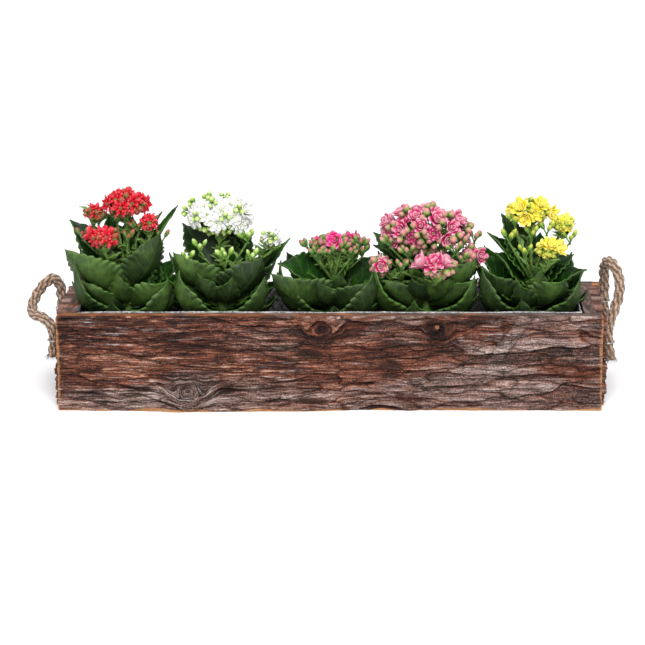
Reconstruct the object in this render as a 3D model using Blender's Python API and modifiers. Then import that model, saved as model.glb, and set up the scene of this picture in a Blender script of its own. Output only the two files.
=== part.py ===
"""A long rustic planter box of bark-faced slabs with two rope handles and five potted kalanchoes.

Metres, +Z up. The origin is the centre of the underside, +X runs along the box and -Y is its front.
Each kalanchoe is a green plant fused from stem, leaves, stalks and buds, with its flower heads apart.
"""
import math
import random

import bmesh
import bpy
from mathutils import Matrix, Vector, noise
from mathutils.bvhtree import BVHTree

# The box
BOX_LENGTH = 0.550
BOX_DEPTH = 0.150
BOX_HEIGHT = 0.097
SLAB_THICKNESS = 0.018
BACK_SLAB_OVERHANG = 0.009
BOARD_THICKNESS = 0.010
FILM_THICKNESS = 0.0005
FILM_RISE = 0.0025
GAP = 0.0003

# The nursery pots and their soil
POT_HEIGHT = 0.080
POT_TOP_RADIUS = 0.045
POT_FOOT_RADIUS = 0.033
POT_WALL = 0.001
POT_SIDES = 12
SOIL_DROP = 0.009
STEM_HOLE_RADIUS = 0.0060
STEM_HOLE_DEPTH = 0.030
STEM_RADIUS = 0.0048

# The rope handles and the staples that hold them
ROPE_RADIUS = 0.0056
ROPE_LAY = 0.034
BARK_AT_ROPE = 0.0030
PARED_HALF_WIDTH = 0.0130
STAPLE_WIRE_RADIUS = 0.0006
STAPLE_RADIUS = ROPE_RADIUS + STAPLE_WIRE_RADIUS + 0.0005
FRONT_LEG_Y = -0.031
BACK_LEG_Y = 0.031
ROPE_X = BOX_LENGTH / 2 + BARK_AT_ROPE + ROPE_RADIUS + GAP

# The plants
LEAF_STATIONS = 8
LEAF_THICKNESS = 0.0018
PETIOLE_HALF_WIDTH = 0.0022
PETIOLE_HALF_DEPTH = 0.0014
PETIOLE_SHARE = 0.13
LAST_STATION = 0.97
CREST_TO_NOTCH = 0.88
ROOT_SUNK_AT = 0.0022
LOWEST_ROOT = 0.0885
ROOT_SPACING = 0.0026
PETALS = 5
CALYX_DEPTH = 0.0042
BUD_LENGTH = 0.0085
BUD_RADIUS = 0.0024
PEDICEL_LENGTH = 0.009
PEDICEL_RADIUS = 0.0007
STALK_RADIUS = 0.0016
GOLDEN_ANGLE = math.radians(137.508)
PLANT_KEEP = 0.51
BLOOM_KEEP = 0.42
THINNING_TRIES = 16
SPARED_REACH = 0.003

INNER_X = BOX_LENGTH / 2 - SLAB_THICKNESS
INNER_Y = BOX_DEPTH / 2 - SLAB_THICKNESS
FILM_FLOOR = BOARD_THICKNESS + GAP
POT_FOOT = FILM_FLOOR + FILM_THICKNESS + GAP
POT_RIM = POT_FOOT + POT_HEIGHT
SOIL_TOP = POT_RIM - SOIL_DROP

MM = 0.001


def start_collection(name):
    """Makes an empty collection in the scene."""
    made = bpy.data.collections.new(name)
    bpy.context.scene.collection.children.link(made)
    return made


for old in list(bpy.data.objects):
    bpy.data.objects.remove(old)
PARTS = start_collection("kalanchoe_wooden_box")
GUIDES = start_collection("cutters_and_guides")


def plain_material(name, colour, roughness):
    """A Principled material with one colour."""
    made = bpy.data.materials.new(name)
    made.use_nodes = True
    shader = made.node_tree.nodes["Principled BSDF"]
    shader.inputs["Base Color"].default_value = (*colour, 1.0)
    shader.inputs["Roughness"].default_value = roughness
    shader.inputs["Metallic"].default_value = 0.0
    return made


BARK = plain_material("bark", (0.13, 0.065, 0.04), 0.9)
PINE = plain_material("sawn_pine", (0.45, 0.27, 0.13), 0.75)
FILM = plain_material("polythene_film", (0.75, 0.75, 0.75), 0.3)
ROPE = plain_material("jute_rope", (0.36, 0.24, 0.13), 0.95)
WIRE = plain_material("staple_wire", (0.55, 0.55, 0.55), 0.35)
WIRE.node_tree.nodes["Principled BSDF"].inputs["Metallic"].default_value = 1.0
POT_PLASTIC = plain_material("pot_plastic", (0.03, 0.03, 0.03), 0.5)
PEAT = plain_material("peat_soil", (0.05, 0.03, 0.02), 0.95)
LEAF = plain_material("kalanchoe_leaf", (0.03, 0.11, 0.01), 0.4)
PETAL_COLOURS = {
    "red": (0.70, 0.006, 0.03),
    "white": (0.90, 0.87, 0.90),
    "magenta": (0.85, 0.05, 0.27),
    "pink": (0.80, 0.30, 0.42),
    "yellow": (0.92, 0.62, 0.04),
}


def add_object(name, mesh, material, collection=PARTS):
    """Wraps a mesh in an object with one material."""
    mesh.materials.clear()
    mesh.materials.append(material)
    made = bpy.data.objects.new(name, mesh)
    collection.objects.link(made)
    return made


def mesh_from(bm, name):
    """Turns a bmesh into a mesh of triangles whose faces point out."""
    bmesh.ops.triangulate(bm, faces=bm.faces)
    bmesh.ops.recalc_face_normals(bm, faces=bm.faces)
    mesh = bpy.data.meshes.new(name)
    bm.to_mesh(mesh)
    bm.free()
    return mesh


def evaluated_mesh(made):
    """The mesh of an object with its modifiers or its curve bevel applied, with its doubles welded."""
    bpy.context.view_layer.update()
    graph = bpy.context.evaluated_depsgraph_get()
    mesh = bpy.data.meshes.new_from_object(made.evaluated_get(graph))
    bm = bmesh.new()
    bm.from_mesh(mesh)
    bmesh.ops.remove_doubles(bm, verts=bm.verts, dist=1e-6)
    bmesh.ops.recalc_face_normals(bm, faces=bm.faces)
    bm.to_mesh(mesh)
    bm.free()
    mesh.transform(made.matrix_world)
    return mesh


def poly_curve(name, points, radius, sides_level=0, scales=None):
    """A curve through the points, bevelled to a round tube with filled caps."""
    data = bpy.data.curves.new(name, "CURVE")
    data.dimensions = "3D"
    data.bevel_depth = radius
    data.bevel_resolution = sides_level
    data.use_fill_caps = True
    spline = data.splines.new("POLY")
    spline.points.add(len(points) - 1)
    for index, point in enumerate(points):
        spline.points[index].co = (*point, 1.0)
        if scales:
            spline.points[index].radius = scales[index]
    return data


# Bark slabs

def bump(u, v, centre_u, centre_v, width, rise):
    """A round swelling of the bark, as over a knot."""
    distance = math.hypot(u - centre_u, v - centre_v) / width
    return rise * math.exp(-distance * distance)


def furrows(u, v, seed):
    """Long fibrous ridges that run along the slab, about 2 mm high."""
    broad = noise.noise(Vector((u * 8.0, v * 40.0, seed)))
    fine = noise.noise(Vector((u * 22.0, v * 90.0, seed + 7.0)))
    return 0.0034 * broad + 0.0014 * fine


def front_relief(u, v):
    """Bark height of the front slab, with its knots, a lifted flake and a swollen lower edge."""
    height = furrows(u, v, 2.0)
    height += bump(u, v, -0.145, 0.026, 0.022, 0.0045)
    height += bump(u, v, -0.008, 0.088, 0.011, 0.0025)
    height += bump(u, v, 0.112, 0.084, 0.014, 0.0035)
    along = (u - 0.180) * math.cos(0.95) + (v - 0.072) * math.sin(0.95)
    across = -(u - 0.180) * math.sin(0.95) + (v - 0.072) * math.cos(0.95)
    height += 0.0035 * math.exp(-(along / 0.028) ** 2 - (across / 0.009) ** 2)
    lower = max(0.0, 1.0 - v / 0.035)
    height += 0.006 * lower * math.exp(-((u + 0.125) / 0.11) ** 2)
    return height


def back_relief(u, v):
    """Bark height of the back slab."""
    return furrows(u, v, 31.0) + bump(u, v, 0.09, 0.05, 0.02, 0.003)


def end_relief(seed):
    """Bark height of an end slab, pared flat under the two legs of its rope."""
    def height(u, v):
        swell = 0.0030 + 0.0022 * math.sin(math.pi * v / BOX_HEIGHT)
        wild = swell + furrows(u * 1.5, v, seed)
        nearest = min(abs(u - FRONT_LEG_Y), abs(u - BACK_LEG_Y))
        blend = min(1.0, max(0.0, (nearest - PARED_HALF_WIDTH) / 0.006))
        return BARK_AT_ROPE + (wild - BARK_AT_ROPE) * blend
    return height


def bark_slab(name, length, columns, rows, relief, place, turn):
    """A sawn slab: a grid raised to the bark's relief, its rim drawn back to a flat inner face."""
    bm = bmesh.new()
    bmesh.ops.create_grid(bm, x_segments=columns, y_segments=rows, size=0.5)
    for vert in bm.verts:
        u = vert.co.x * length
        v = (vert.co.y + 0.5) * BOX_HEIGHT
        vert.co = (u, -relief(u, v), v)
    rim = [edge for edge in bm.edges if edge.is_boundary]
    drawn = bmesh.ops.extrude_edge_only(bm, edges=rim)["geom"]
    inner = {item for item in drawn if isinstance(item, bmesh.types.BMVert)}
    for vert in inner:
        vert.co.y = SLAB_THICKNESS
    inner_rim = [item for item in drawn if isinstance(item, bmesh.types.BMEdge)]
    inner_rim = [edge for edge in inner_rim if all(vert in inner for vert in edge.verts)]
    bmesh.ops.contextual_create(bm, geom=inner_rim)
    made = add_object(name, mesh_from(bm, name), BARK)
    made.location = place
    made.rotation_euler = (0.0, 0.0, turn)
    return made


def mirrored_y(relief):
    """Reads a relief that is written along +Y on a slab whose own length runs along -Y."""
    return lambda u, v: relief(-u, v)


def make_box():
    """The four slabs and the base board between them."""
    half_x = BOX_LENGTH / 2
    half_y = BOX_DEPTH / 2
    end_length = 2 * (INNER_Y - GAP)
    bark_slab("front_slab", BOX_LENGTH, 26, 13, front_relief, (0, -half_y, 0), 0.0)
    back_length = BOX_LENGTH + BACK_SLAB_OVERHANG
    bark_slab("back_slab", back_length, 16, 9, back_relief, (BACK_SLAB_OVERHANG / 2, half_y, 0), math.pi)
    bark_slab("right_slab", end_length, 16, 7, end_relief(5.0), (half_x, 0, 0), math.pi / 2)
    bark_slab("left_slab", end_length, 16, 7, mirrored_y(end_relief(12.0)), (-half_x, 0, 0), -math.pi / 2)

    bpy.ops.mesh.primitive_cube_add(size=1.0, location=(0, 0, BOARD_THICKNESS / 2))
    board = bpy.context.object
    board.name = "base_board"
    board.scale = (2 * (INNER_X - GAP), 2 * (INNER_Y - GAP), BOARD_THICKNESS)
    bpy.ops.object.transform_apply(scale=True)
    board.data.materials.append(PINE)
    for holder in board.users_collection:
        holder.objects.unlink(board)
    PARTS.objects.link(board)


def make_film():
    """The film that lines the box: an open tray with a thin wall, its edge just above the slabs."""
    half_x = INNER_X - GAP
    half_y = INNER_Y - GAP
    rise = BOX_HEIGHT + FILM_RISE - FILM_FLOOR
    bm = bmesh.new()
    bmesh.ops.create_cube(bm, size=1.0)
    top = [face for face in bm.faces if face.normal.z > 0.5]
    bmesh.ops.delete(bm, geom=top, context="FACES_ONLY")
    bmesh.ops.scale(bm, vec=(2 * half_x, 2 * half_y, rise), verts=bm.verts)
    bmesh.ops.translate(bm, vec=(0, 0, FILM_FLOOR + rise / 2), verts=bm.verts)
    mesh = bpy.data.meshes.new("film_liner")
    bm.to_mesh(mesh)
    bm.free()
    film = add_object("film_liner", mesh, FILM)
    wall = film.modifiers.new("wall", "SOLIDIFY")
    wall.thickness = FILM_THICKNESS
    wall.offset = -1.0
    wall.use_even_offset = True


# Pots and soil

def turned(name, profile, sides, material, place):
    """A profile of (radius, height) points turned about the upright axis."""
    mesh = bpy.data.meshes.new(name)
    verts = [(radius, 0.0, height) for radius, height in profile]
    edges = [(index, index + 1) for index in range(len(profile) - 1)]
    mesh.from_pydata(verts, edges, [])
    made = add_object(name, mesh, material)
    made.location = place
    screw = made.modifiers.new("turn", "SCREW")
    screw.steps = sides
    screw.render_steps = sides
    screw.use_merge_vertices = True
    screw.merge_threshold = 0.00001
    return made


def make_pot(number, x):
    """One thin nursery pot with its fill of peat, which has a plain hole for the stem."""
    slope = (POT_TOP_RADIUS - POT_FOOT_RADIUS) / POT_HEIGHT
    rim = [
        (0.0, POT_WALL),
        (POT_FOOT_RADIUS - POT_WALL, POT_WALL),
        (POT_TOP_RADIUS - POT_WALL, POT_HEIGHT),
        (POT_TOP_RADIUS, POT_HEIGHT),
        (POT_FOOT_RADIUS, 0.0),
        (0.0, 0.0),
    ]
    turned(f"pot_{number}", rim, POT_SIDES, POT_PLASTIC, (x, 0, POT_FOOT))

    floor = POT_WALL + GAP
    top = SOIL_TOP - POT_FOOT
    shrink = POT_WALL + 2 * GAP
    soil = [
        (0.0, top - STEM_HOLE_DEPTH),
        (STEM_HOLE_RADIUS, top - STEM_HOLE_DEPTH),
        (STEM_HOLE_RADIUS, top + 0.001),
        (0.6 * POT_TOP_RADIUS, top + 0.0025),
        (POT_FOOT_RADIUS + slope * top - shrink, top - 0.001),
        (POT_FOOT_RADIUS + slope * floor - shrink, floor),
        (0.0, floor),
    ]
    turned(f"soil_{number}", soil, POT_SIDES, PEAT, (x, 0, POT_FOOT))


# Rope handles

RIGHT_ROUTE = [
    (0.0030, -0.0325, 0.042),
    (0.0000, -0.0310, 0.060),
    (0.0005, -0.0300, 0.077),
    (0.0060, -0.0280, 0.093),
    (0.0110, -0.0230, 0.109),
    (0.0110, -0.0140, 0.124),
    (0.0060, -0.0010, 0.134),
    (0.0010, 0.0120, 0.134),
    (-0.0010, 0.0230, 0.123),
    (0.0000, 0.0290, 0.107),
    (0.0000, 0.0310, 0.090),
    (0.0010, 0.0315, 0.075),
    (0.0060, 0.0330, 0.061),
]
LEFT_ROUTE = [
    (0.0030, 0.0325, 0.060),
    (0.0000, 0.0310, 0.076),
    (0.0000, 0.0305, 0.092),
    (0.0015, 0.0280, 0.106),
    (0.0085, 0.0240, 0.113),
    (0.0180, 0.0170, 0.106),
    (0.0245, 0.0080, 0.096),
    (0.0260, -0.0030, 0.088),
    (0.0220, -0.0140, 0.084),
    (0.0130, -0.0230, 0.084),
    (0.0040, -0.0290, 0.078),
    (0.0000, -0.0310, 0.064),
    (0.0020, -0.0320, 0.045),
]


def smooth_route(points, spacing):
    """Points at an even spacing along a Catmull-Rom curve through the route's own points."""
    ends = [2 * points[0] - points[1]] + points + [2 * points[-1] - points[-2]]
    fine = []
    for index in range(1, len(ends) - 2):
        a, b, c, d = ends[index - 1:index + 3]
        for step in range(12):
            t = step / 12
            fine.append(0.5 * (2 * b + (c - a) * t + (2 * a - 5 * b + 4 * c - d) * t * t
                               + (3 * b - a - 3 * c + d) * t ** 3))
    fine.append(points[-1])
    length = sum((fine[i + 1] - fine[i]).length for i in range(len(fine) - 1))
    count = max(2, round(length / spacing))
    placed = [fine[0]]
    walked = 0.0
    for index in range(len(fine) - 1):
        step = (fine[index + 1] - fine[index]).length
        while len(placed) < count and walked + step >= len(placed) * length / count:
            share = (len(placed) * length / count - walked) / step
            placed.append(fine[index].lerp(fine[index + 1], share))
        walked += step
    placed.append(fine[-1])
    return placed, length


def strand_profile():
    """The rope's section: three round strands, drawn as a six-sided lobed outline."""
    data = bpy.data.curves.new("rope_section", "CURVE")
    data.dimensions = "2D"
    spline = data.splines.new("POLY")
    spline.points.add(5)
    for index in range(6):
        angle = index * math.pi / 3
        radius = ROPE_RADIUS if index % 2 == 0 else 0.80 * ROPE_RADIUS
        spline.points[index].co = (radius * math.cos(angle), radius * math.sin(angle), 0.0, 1.0)
    spline.use_cyclic_u = True
    section = bpy.data.objects.new("rope_section", data)
    section.hide_render = True
    section.display_type = "WIRE"
    GUIDES.objects.link(section)
    return section


def make_handles():
    """The two twisted rope handles, each fixed to its end slab by a staple over each leg."""
    section = strand_profile()
    for side, sign, route in (("right", 1, RIGHT_ROUTE), ("left", -1, LEFT_ROUTE)):
        points = [Vector((sign * (ROPE_X + x), y, z)) for x, y, z in route]
        placed, length = smooth_route(points, 0.0065)
        data = poly_curve(f"rope_handle_{side}", placed, 0.0)
        data.bevel_mode = "OBJECT"
        data.bevel_object = section
        data.twist_mode = "MINIMUM"
        for index, point in enumerate(data.splines[0].points):
            point.tilt = 2 * math.pi * index * length / (len(placed) - 1) / ROPE_LAY
        rope = bpy.data.objects.new(f"rope_handle_{side}", data)
        data.materials.append(ROPE)
        PARTS.objects.link(rope)
        rope_mesh = evaluated_mesh(rope)
        bpy.data.objects.remove(rope)
        add_object(f"rope_handle_{side}", rope_mesh, ROPE)
        for end, height, y in (("front", 0.060, FRONT_LEG_Y), ("back", 0.088, BACK_LEG_Y)):
            if side == "left":
                height = {"front": 0.062, "back": 0.080}[end]
            make_staple(f"rope_staple_{side}_{end}", sign, y, height)
    bpy.data.objects.remove(section)


def make_staple(name, sign, y, height):
    """A wire staple bent over one leg of a rope, its ends at the pared bark."""
    face_x = BOX_LENGTH / 2 + BARK_AT_ROPE + GAP
    arc = [(face_x, y - STAPLE_RADIUS)]
    for index in range(5):
        angle = -math.pi / 2 + math.pi * index / 4
        arc.append((ROPE_X + STAPLE_RADIUS * math.cos(angle), y + STAPLE_RADIUS * math.sin(angle)))
    arc.append((face_x, y + STAPLE_RADIUS))
    points = [(sign * x, place_y, height) for x, place_y in arc]
    data = poly_curve(name, points, STAPLE_WIRE_RADIUS)
    wire = bpy.data.objects.new(name, data)
    data.materials.append(WIRE)
    PARTS.objects.link(wire)
    wire_mesh = evaluated_mesh(wire)
    bpy.data.objects.remove(wire)
    add_object(name, wire_mesh, WIRE)


# Pieces of a plant

def ovate(t):
    """Half-width of a kalanchoe leaf along its length, as a share of the widest."""
    return math.sin(math.pi * t ** 0.85) ** 0.62 if 0.0 < t < 1.0 else 0.0


def leaf_mesh(base, tip, face, width, bow):
    """A fleshy leaf from its root to its tip, folded at the rib, with scalloped edges.

    Its stations alternate between the crest and the notch of a scallop. Both faces share the edge
    and are split into triangles alike, so that they never cross.
    """
    along = tip - base
    length = along.length
    along.normalize()
    up = (face - face.dot(along) * along).normalized()
    side = up.cross(along)

    def place(t, across, lift):
        arch = bow * length * 4 * t * (1 - t)
        return base + along * (t * length) + side * across + up * (arch + lift)

    bm = bmesh.new()
    rows = []
    for index in range(LEAF_STATIONS):
        share = index / (LEAF_STATIONS - 1)
        t = PETIOLE_SHARE + (1 - PETIOLE_SHARE) * share * LAST_STATION
        crest = 1.0 if index % 2 else CREST_TO_NOTCH
        half = max(PETIOLE_HALF_WIDTH, width / 2 * ovate(0.06 + 0.90 * share) * crest)
        edge_lift = 0.30 * half + (0.0012 if index % 2 else -0.0008)
        rib = LEAF_THICKNESS * (1.25 - 0.6 * share) / 2
        rows.append([
            bm.verts.new(place(t, -half, edge_lift)),
            bm.verts.new(place(t, 0.0, rib)),
            bm.verts.new(place(t, half, edge_lift)),
            bm.verts.new(place(t, 0.0, -rib)),
        ])
    root = []
    for across, lift in ((-1, 0.0), (0, 1.0), (1, 0.0), (0, -1.0)):
        root.append(bm.verts.new(place(0.0, across * PETIOLE_HALF_WIDTH, lift * PETIOLE_HALF_DEPTH)))
    rows.insert(0, root)
    for near, far in zip(rows, rows[1:]):
        for left, right in ((0, 1), (1, 2), (2, 3), (3, 0)):
            middle = left if left in (1, 3) else right
            edge = right if middle == left else left
            bm.faces.new((near[edge], far[edge], near[middle]))
            bm.faces.new((far[edge], far[middle], near[middle]))
    point = bm.verts.new(place(1.0, 0.0, 0.0))
    last = rows[-1]
    for left, right in ((0, 1), (1, 2), (2, 3), (3, 0)):
        bm.faces.new((last[left], last[right], point))
    bm.faces.new(root)
    return mesh_from(bm, "leaf")


def tube_mesh(points, radius, scales):
    """A slim tapering stem or stalk as a closed mesh."""
    data = poly_curve("stalk", points, radius, 0, scales)
    data.twist_mode = "MINIMUM"
    made = bpy.data.objects.new("stalk", data)
    GUIDES.objects.link(made)
    mesh = evaluated_mesh(made)
    bpy.data.objects.remove(made)
    return mesh


def bud_mesh(size):
    """A bud that swells from its pedicel to a point, four-sided, standing on the origin."""
    bm = bmesh.new()
    swell = PEDICEL_LENGTH + 0.35 * BUD_LENGTH * size
    ring = bmesh.ops.create_cone(bm, cap_ends=True, segments=4, radius1=PEDICEL_RADIUS,
                                 radius2=BUD_RADIUS * size, depth=swell)
    bmesh.ops.translate(bm, vec=(0, 0, swell / 2), verts=ring["verts"])
    top = next(face for face in bm.faces if face.normal.z > 0.9)
    tip = bmesh.ops.poke(bm, faces=[top])["verts"][0]
    tip.co.z += 0.65 * BUD_LENGTH * size
    return mesh_from(bm, "bud")


def floret_mesh(diameter, depth):
    """A double floret: a star of petals, a second layer raised over its notches, and a slim calyx."""
    bm = bmesh.new()
    outer = diameter / 2
    ring = bmesh.ops.create_cone(bm, cap_ends=True, cap_tris=True, segments=2 * PETALS,
                                 radius1=outer, radius2=0.60 * outer, depth=depth)["verts"]
    for vert in ring:
        radius = math.hypot(vert.co.x, vert.co.y)
        lower = vert.co.z < 0
        if radius < 1e-6:
            vert.co.z += -CALYX_DEPTH if lower else -0.0004
            continue
        notch_turn = 1 if lower else 0
        if round(math.atan2(vert.co.y, vert.co.x) / (math.pi / PETALS)) % 2 == notch_turn:
            vert.co.x *= 0.58
            vert.co.y *= 0.58
            vert.co.z -= 0.0004
        elif lower:
            vert.co.z += 0.0010
    return mesh_from(bm, "floret")


def stand(mesh, place, direction, spin=0.0):
    """Turns a mesh from +Z to the direction and moves it to its place."""
    turn = direction.to_track_quat("Z", "Y").to_matrix().to_4x4()
    mesh.transform(Matrix.Translation(place) @ turn @ Matrix.Rotation(spin, 4, "Z"))
    return mesh


def fuse(name, meshes, material, keep, seats):
    """Joins closed meshes in one body, drops scraps and sealed hollows, and thins its slivers out."""
    hold = start_collection(f"{name}_pieces")
    base = add_object(name, meshes[0], material)
    for mesh in meshes[1:]:
        add_object(f"{name}_piece", mesh, material, hold)
    union = base.modifiers.new("union", "BOOLEAN")
    union.operation = "UNION"
    union.operand_type = "COLLECTION"
    union.collection = hold
    union.solver = "MANIFOLD"
    bpy.context.view_layer.update()
    graph = bpy.context.evaluated_depsgraph_get()
    joined = bpy.data.meshes.new_from_object(base.evaluated_get(graph))
    base.modifiers.clear()
    for piece in list(hold.objects):
        bpy.data.objects.remove(piece)
    bpy.data.collections.remove(hold)
    base.data = keep_largest(joined)
    base.data.materials.clear()
    base.data.materials.append(material)
    thin_out(base, keep, seats)
    return base


def thin_out(made, keep, seats):
    """Thins a fused mesh, and spares its seats and where that would tear it or let its faces cross."""
    free = made.vertex_groups.new(name="free_to_thin")
    free.add([vert.index for vert in made.data.vertices], 1.0, "REPLACE")
    thin = made.modifiers.new("thin_out", "DECIMATE")
    thin.ratio = keep
    thin.use_collapse_triangulate = True
    thin.vertex_group = free.name
    faults = seats
    for attempt in range(THINNING_TRIES):
        reach = SPARED_REACH * (1 + attempt / 3)
        spared = []
        for vert in made.data.vertices:
            if any((vert.co - place).length < reach for place in faults):
                spared.append(vert.index)
        free.remove(spared)
        faults = fault_places(made)
        if not faults:
            return
    made.modifiers.remove(thin)


def fault_places(made):
    """Where an edge of the evaluated mesh lacks its two faces, or two triangles cross."""
    bpy.context.view_layer.update()
    graph = bpy.context.evaluated_depsgraph_get()
    bm = bmesh.new()
    bm.from_object(made, graph)
    bm.faces.ensure_lookup_table()
    places = [edge.verts[0].co.copy() for edge in bm.edges if len(edge.link_faces) != 2]
    tree = BVHTree.FromBMesh(bm)
    for first, second in tree.overlap(tree):
        corners = set(bm.faces[first].verts)
        if first < second and not corners.intersection(bm.faces[second].verts):
            places.extend(vert.co.copy() for vert in corners)
    bm.free()
    return places


def keep_largest(mesh):
    """Keeps the body that spans the most, without loose scraps and the walls of sealed hollows."""
    bm = bmesh.new()
    bm.from_mesh(mesh)
    bmesh.ops.triangulate(bm, faces=bm.faces)
    unseen = set(bm.verts)
    islands = []
    while unseen:
        start = unseen.pop()
        island = [start]
        stack = [start]
        while stack:
            for edge in stack.pop().link_edges:
                for vert in edge.verts:
                    if vert in unseen:
                        unseen.remove(vert)
                        island.append(vert)
                        stack.append(vert)
        islands.append(island)
    islands.sort(key=len, reverse=True)
    for island in islands[1:]:
        bmesh.ops.delete(bm, geom=island, context="VERTS")
    bm.to_mesh(mesh)
    bm.free()
    return mesh


# The five plants. Places are in millimetres from the plant's own upright axis, heights from the floor.
# A leaf is its tip, the way its upper face looks, its width and its arch. Low leaves root low.
# A head is its centre, its three radii, the number of florets, their diameter and how deep each is.
# A spray of buds is the place that its buds spring from, and their number.

PLANTS = {
    "red": {
        "x": -210,
        "leaves": [
            ((-60, 15, 178), (0.5, -0.8, 0.3), 42, 0.04),
            ((-60, -25, 156), (0.45, 0.9, 0.3), 56, -0.22),
            ((-42, -36, 126), (0.3, 0.9, 0.3), 44, -0.20),
            ((38, -28, 174), (-0.5, 0.75, 0.35), 46, -0.15),
            ((46, -35, 126), (-0.4, 0.9, 0.3), 42, -0.20),
            ((36, 18, 186), (-1.0, 0.1, 0.2), 32, 0.03),
            ((-46, 42, 136), (0.4, -0.6, 0.7), 48, -0.23),
            ((26, 44, 134), (-0.3, -0.7, 0.7), 48, -0.23),
            ((-10, 40, 160), (0.0, -0.8, 0.5), 42, 0.04),
            ((-6, -38, 133), (0.0, 0.9, 0.3), 48, -0.25),
            ((-28, -12, 150), (0.4, 0.4, 0.8), 30, -0.05),
        ],
        "heads": [
            ((2, 0, 198), (25, 18, 14), 16, 17, 4.5),
            ((-20, -20, 167), (16, 10, 9), 9, 17, 4.5),
            ((-34, 4, 189), (9, 8, 6), 4, 16, 4.5),
            ((25, -8, 180), (7, 8, 7), 5, 16, 4.5),
        ],
        "buds": [((-44, -6, 162), 3), ((4, -22, 162), 4), ((-14, 26, 170), 4), ((38, -10, 160), 2)],
    },
    "white": {
        "x": -112,
        "leaves": [
            ((-42, 25, 172), (0.4, -0.8, 0.4), 44, 0.04),
            ((29, 32, 162), (-0.3, -0.8, 0.5), 46, 0.04),
            ((-6, 42, 164), (0.0, -0.8, 0.6), 46, 0.04),
            ((-47, -26, 153), (0.5, 0.9, 0.3), 52, -0.23),
            ((-22, -39, 135), (0.2, 0.9, 0.3), 46, -0.25),
            ((44, -28, 149), (-0.5, 0.9, 0.3), 56, -0.23),
            ((14, -39, 131), (-0.1, 0.9, 0.3), 44, -0.25),
            ((58, 4, 152), (-0.8, 0.3, 0.5), 40, -0.08),
            ((-40, 42, 130), (0.4, -0.6, 0.7), 46, -0.23),
            ((36, 44, 130), (-0.4, -0.6, 0.7), 46, -0.23),
        ],
        "heads": [
            ((-2, 0, 185), (34, 26, 22), 26, 20, 5.0),
            ((53, -8, 165), (10, 8, 5), 5, 18, 4.5),
        ],
        "buds": [((32, -24, 142), 4), ((-33, -22, 140), 4), ((8, -33, 146), 5), ((-6, 28, 146), 4)],
    },
    "magenta": {
        "x": 3,
        "leaves": [
            ((-56, -22, 140), (0.25, -0.45, 0.85), 48, 0.04),
            ((-44, 10, 134), (0.5, 0.0, 0.85), 38, -0.08),
            ((36, -37, 123), (-0.3, 0.9, 0.3), 48, -0.23),
            ((-16, -39, 127), (0.1, 0.9, 0.3), 46, -0.25),
            ((8, -35, 133), (0.0, 0.9, 0.3), 42, -0.23),
            ((34, 10, 156), (-0.7, -0.4, 0.5), 34, 0.02),
            ((-26, 42, 130), (0.3, -0.6, 0.7), 46, -0.23),
            ((20, 44, 132), (-0.2, -0.6, 0.7), 46, -0.23),
            ((44, -8, 128), (-0.6, 0.2, 0.8), 42, -0.23),
        ],
        "heads": [
            ((5, -8, 160), (7, 6, 5), 4, 16, 4.5),
            ((-15, 0, 156), (8, 8, 5), 5, 12, 6.0),
            ((18, 20, 155), (7, 7, 4), 4, 12, 6.0),
        ],
        "buds": [((-15, -18, 144), 7), ((18, -15, 144), 7), ((30, 0, 142), 5), ((-2, 20, 148), 4)],
    },
    "pink": {
        "x": 98,
        "leaves": [
            ((-54, 42, 158), (0.5, -0.8, 0.3), 38, 0.04),
            ((-54, 20, 150), (1.0, -0.2, 0.2), 32, 0.02),
            ((-42, -33, 124), (0.3, 0.9, 0.3), 44, -0.19),
            ((24, -37, 128), (-0.25, 0.9, 0.3), 56, -0.22),
            ((-14, -39, 129), (0.1, 0.9, 0.3), 46, -0.25),
            ((54, 20, 136), (-0.8, 0.35, 0.5), 42, -0.15),
            ((50, -28, 124), (-0.4, 0.9, 0.3), 40, -0.18),
            ((-28, 46, 138), (0.3, -0.6, 0.7), 44, -0.08),
            ((30, 46, 138), (-0.3, -0.6, 0.7), 44, -0.08),
            ((46, 28, 126), (-0.5, -0.3, 0.8), 42, -0.23),
        ],
        "heads": [
            ((0, 2, 167), (43, 29, 24), 32, 15, 6.0),
            ((10, -42, 140), (16, 4, 8), 5, 19, 4.5),
            ((-46, -14, 136), (8, 8, 7), 6, 13, 6.0),
            ((48, -6, 144), (8, 9, 7), 6, 13, 6.0),
        ],
        "buds": [((-24, -32, 134), 4), ((36, -24, 140), 4), ((0, 36, 138), 4)],
    },
    "yellow": {
        "x": 207,
        "leaves": [
            ((-31, 24, 182), (0.5, -0.8, 0.3), 38, 0.04),
            ((-46, -2, 168), (1.0, -0.3, 0.2), 32, 0.02),
            ((-38, -24, 152), (0.7, -0.4, 0.6), 42, -0.05),
            ((32, -37, 127), (-0.3, 0.9, 0.3), 50, -0.23),
            ((-16, -39, 125), (0.1, 0.9, 0.3), 48, -0.25),
            ((56, -8, 130), (-0.2, -0.3, 0.95), 42, 0.04),
            ((44, 18, 140), (-0.4, -0.5, 0.8), 36, 0.04),
            ((20, 12, 148), (-0.3, -0.6, 0.7), 38, 0.03),
            ((-10, 44, 144), (0.1, -0.6, 0.7), 44, -0.08),
            ((28, 42, 128), (-0.2, -0.5, 0.8), 40, -0.15),
            ((8, -35, 137), (0.0, 0.9, 0.3), 42, -0.23),
        ],
        "heads": [
            ((-2, 0, 189), (21, 15, 12), 13, 17, 4.5),
            ((31, 0, 176), (9, 9, 7), 6, 16, 4.5),
            ((16, -20, 153), (10, 6, 9), 6, 17, 4.5),
        ],
        "buds": [((-24, -14, 160), 4), ((38, -8, 158), 3), ((4, 24, 160), 4), ((-8, -26, 148), 3)],
    },
}

FORK_HEIGHT = 0.122
CORE_SHARE = 0.80
CORE_INSET = 0.0045


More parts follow.
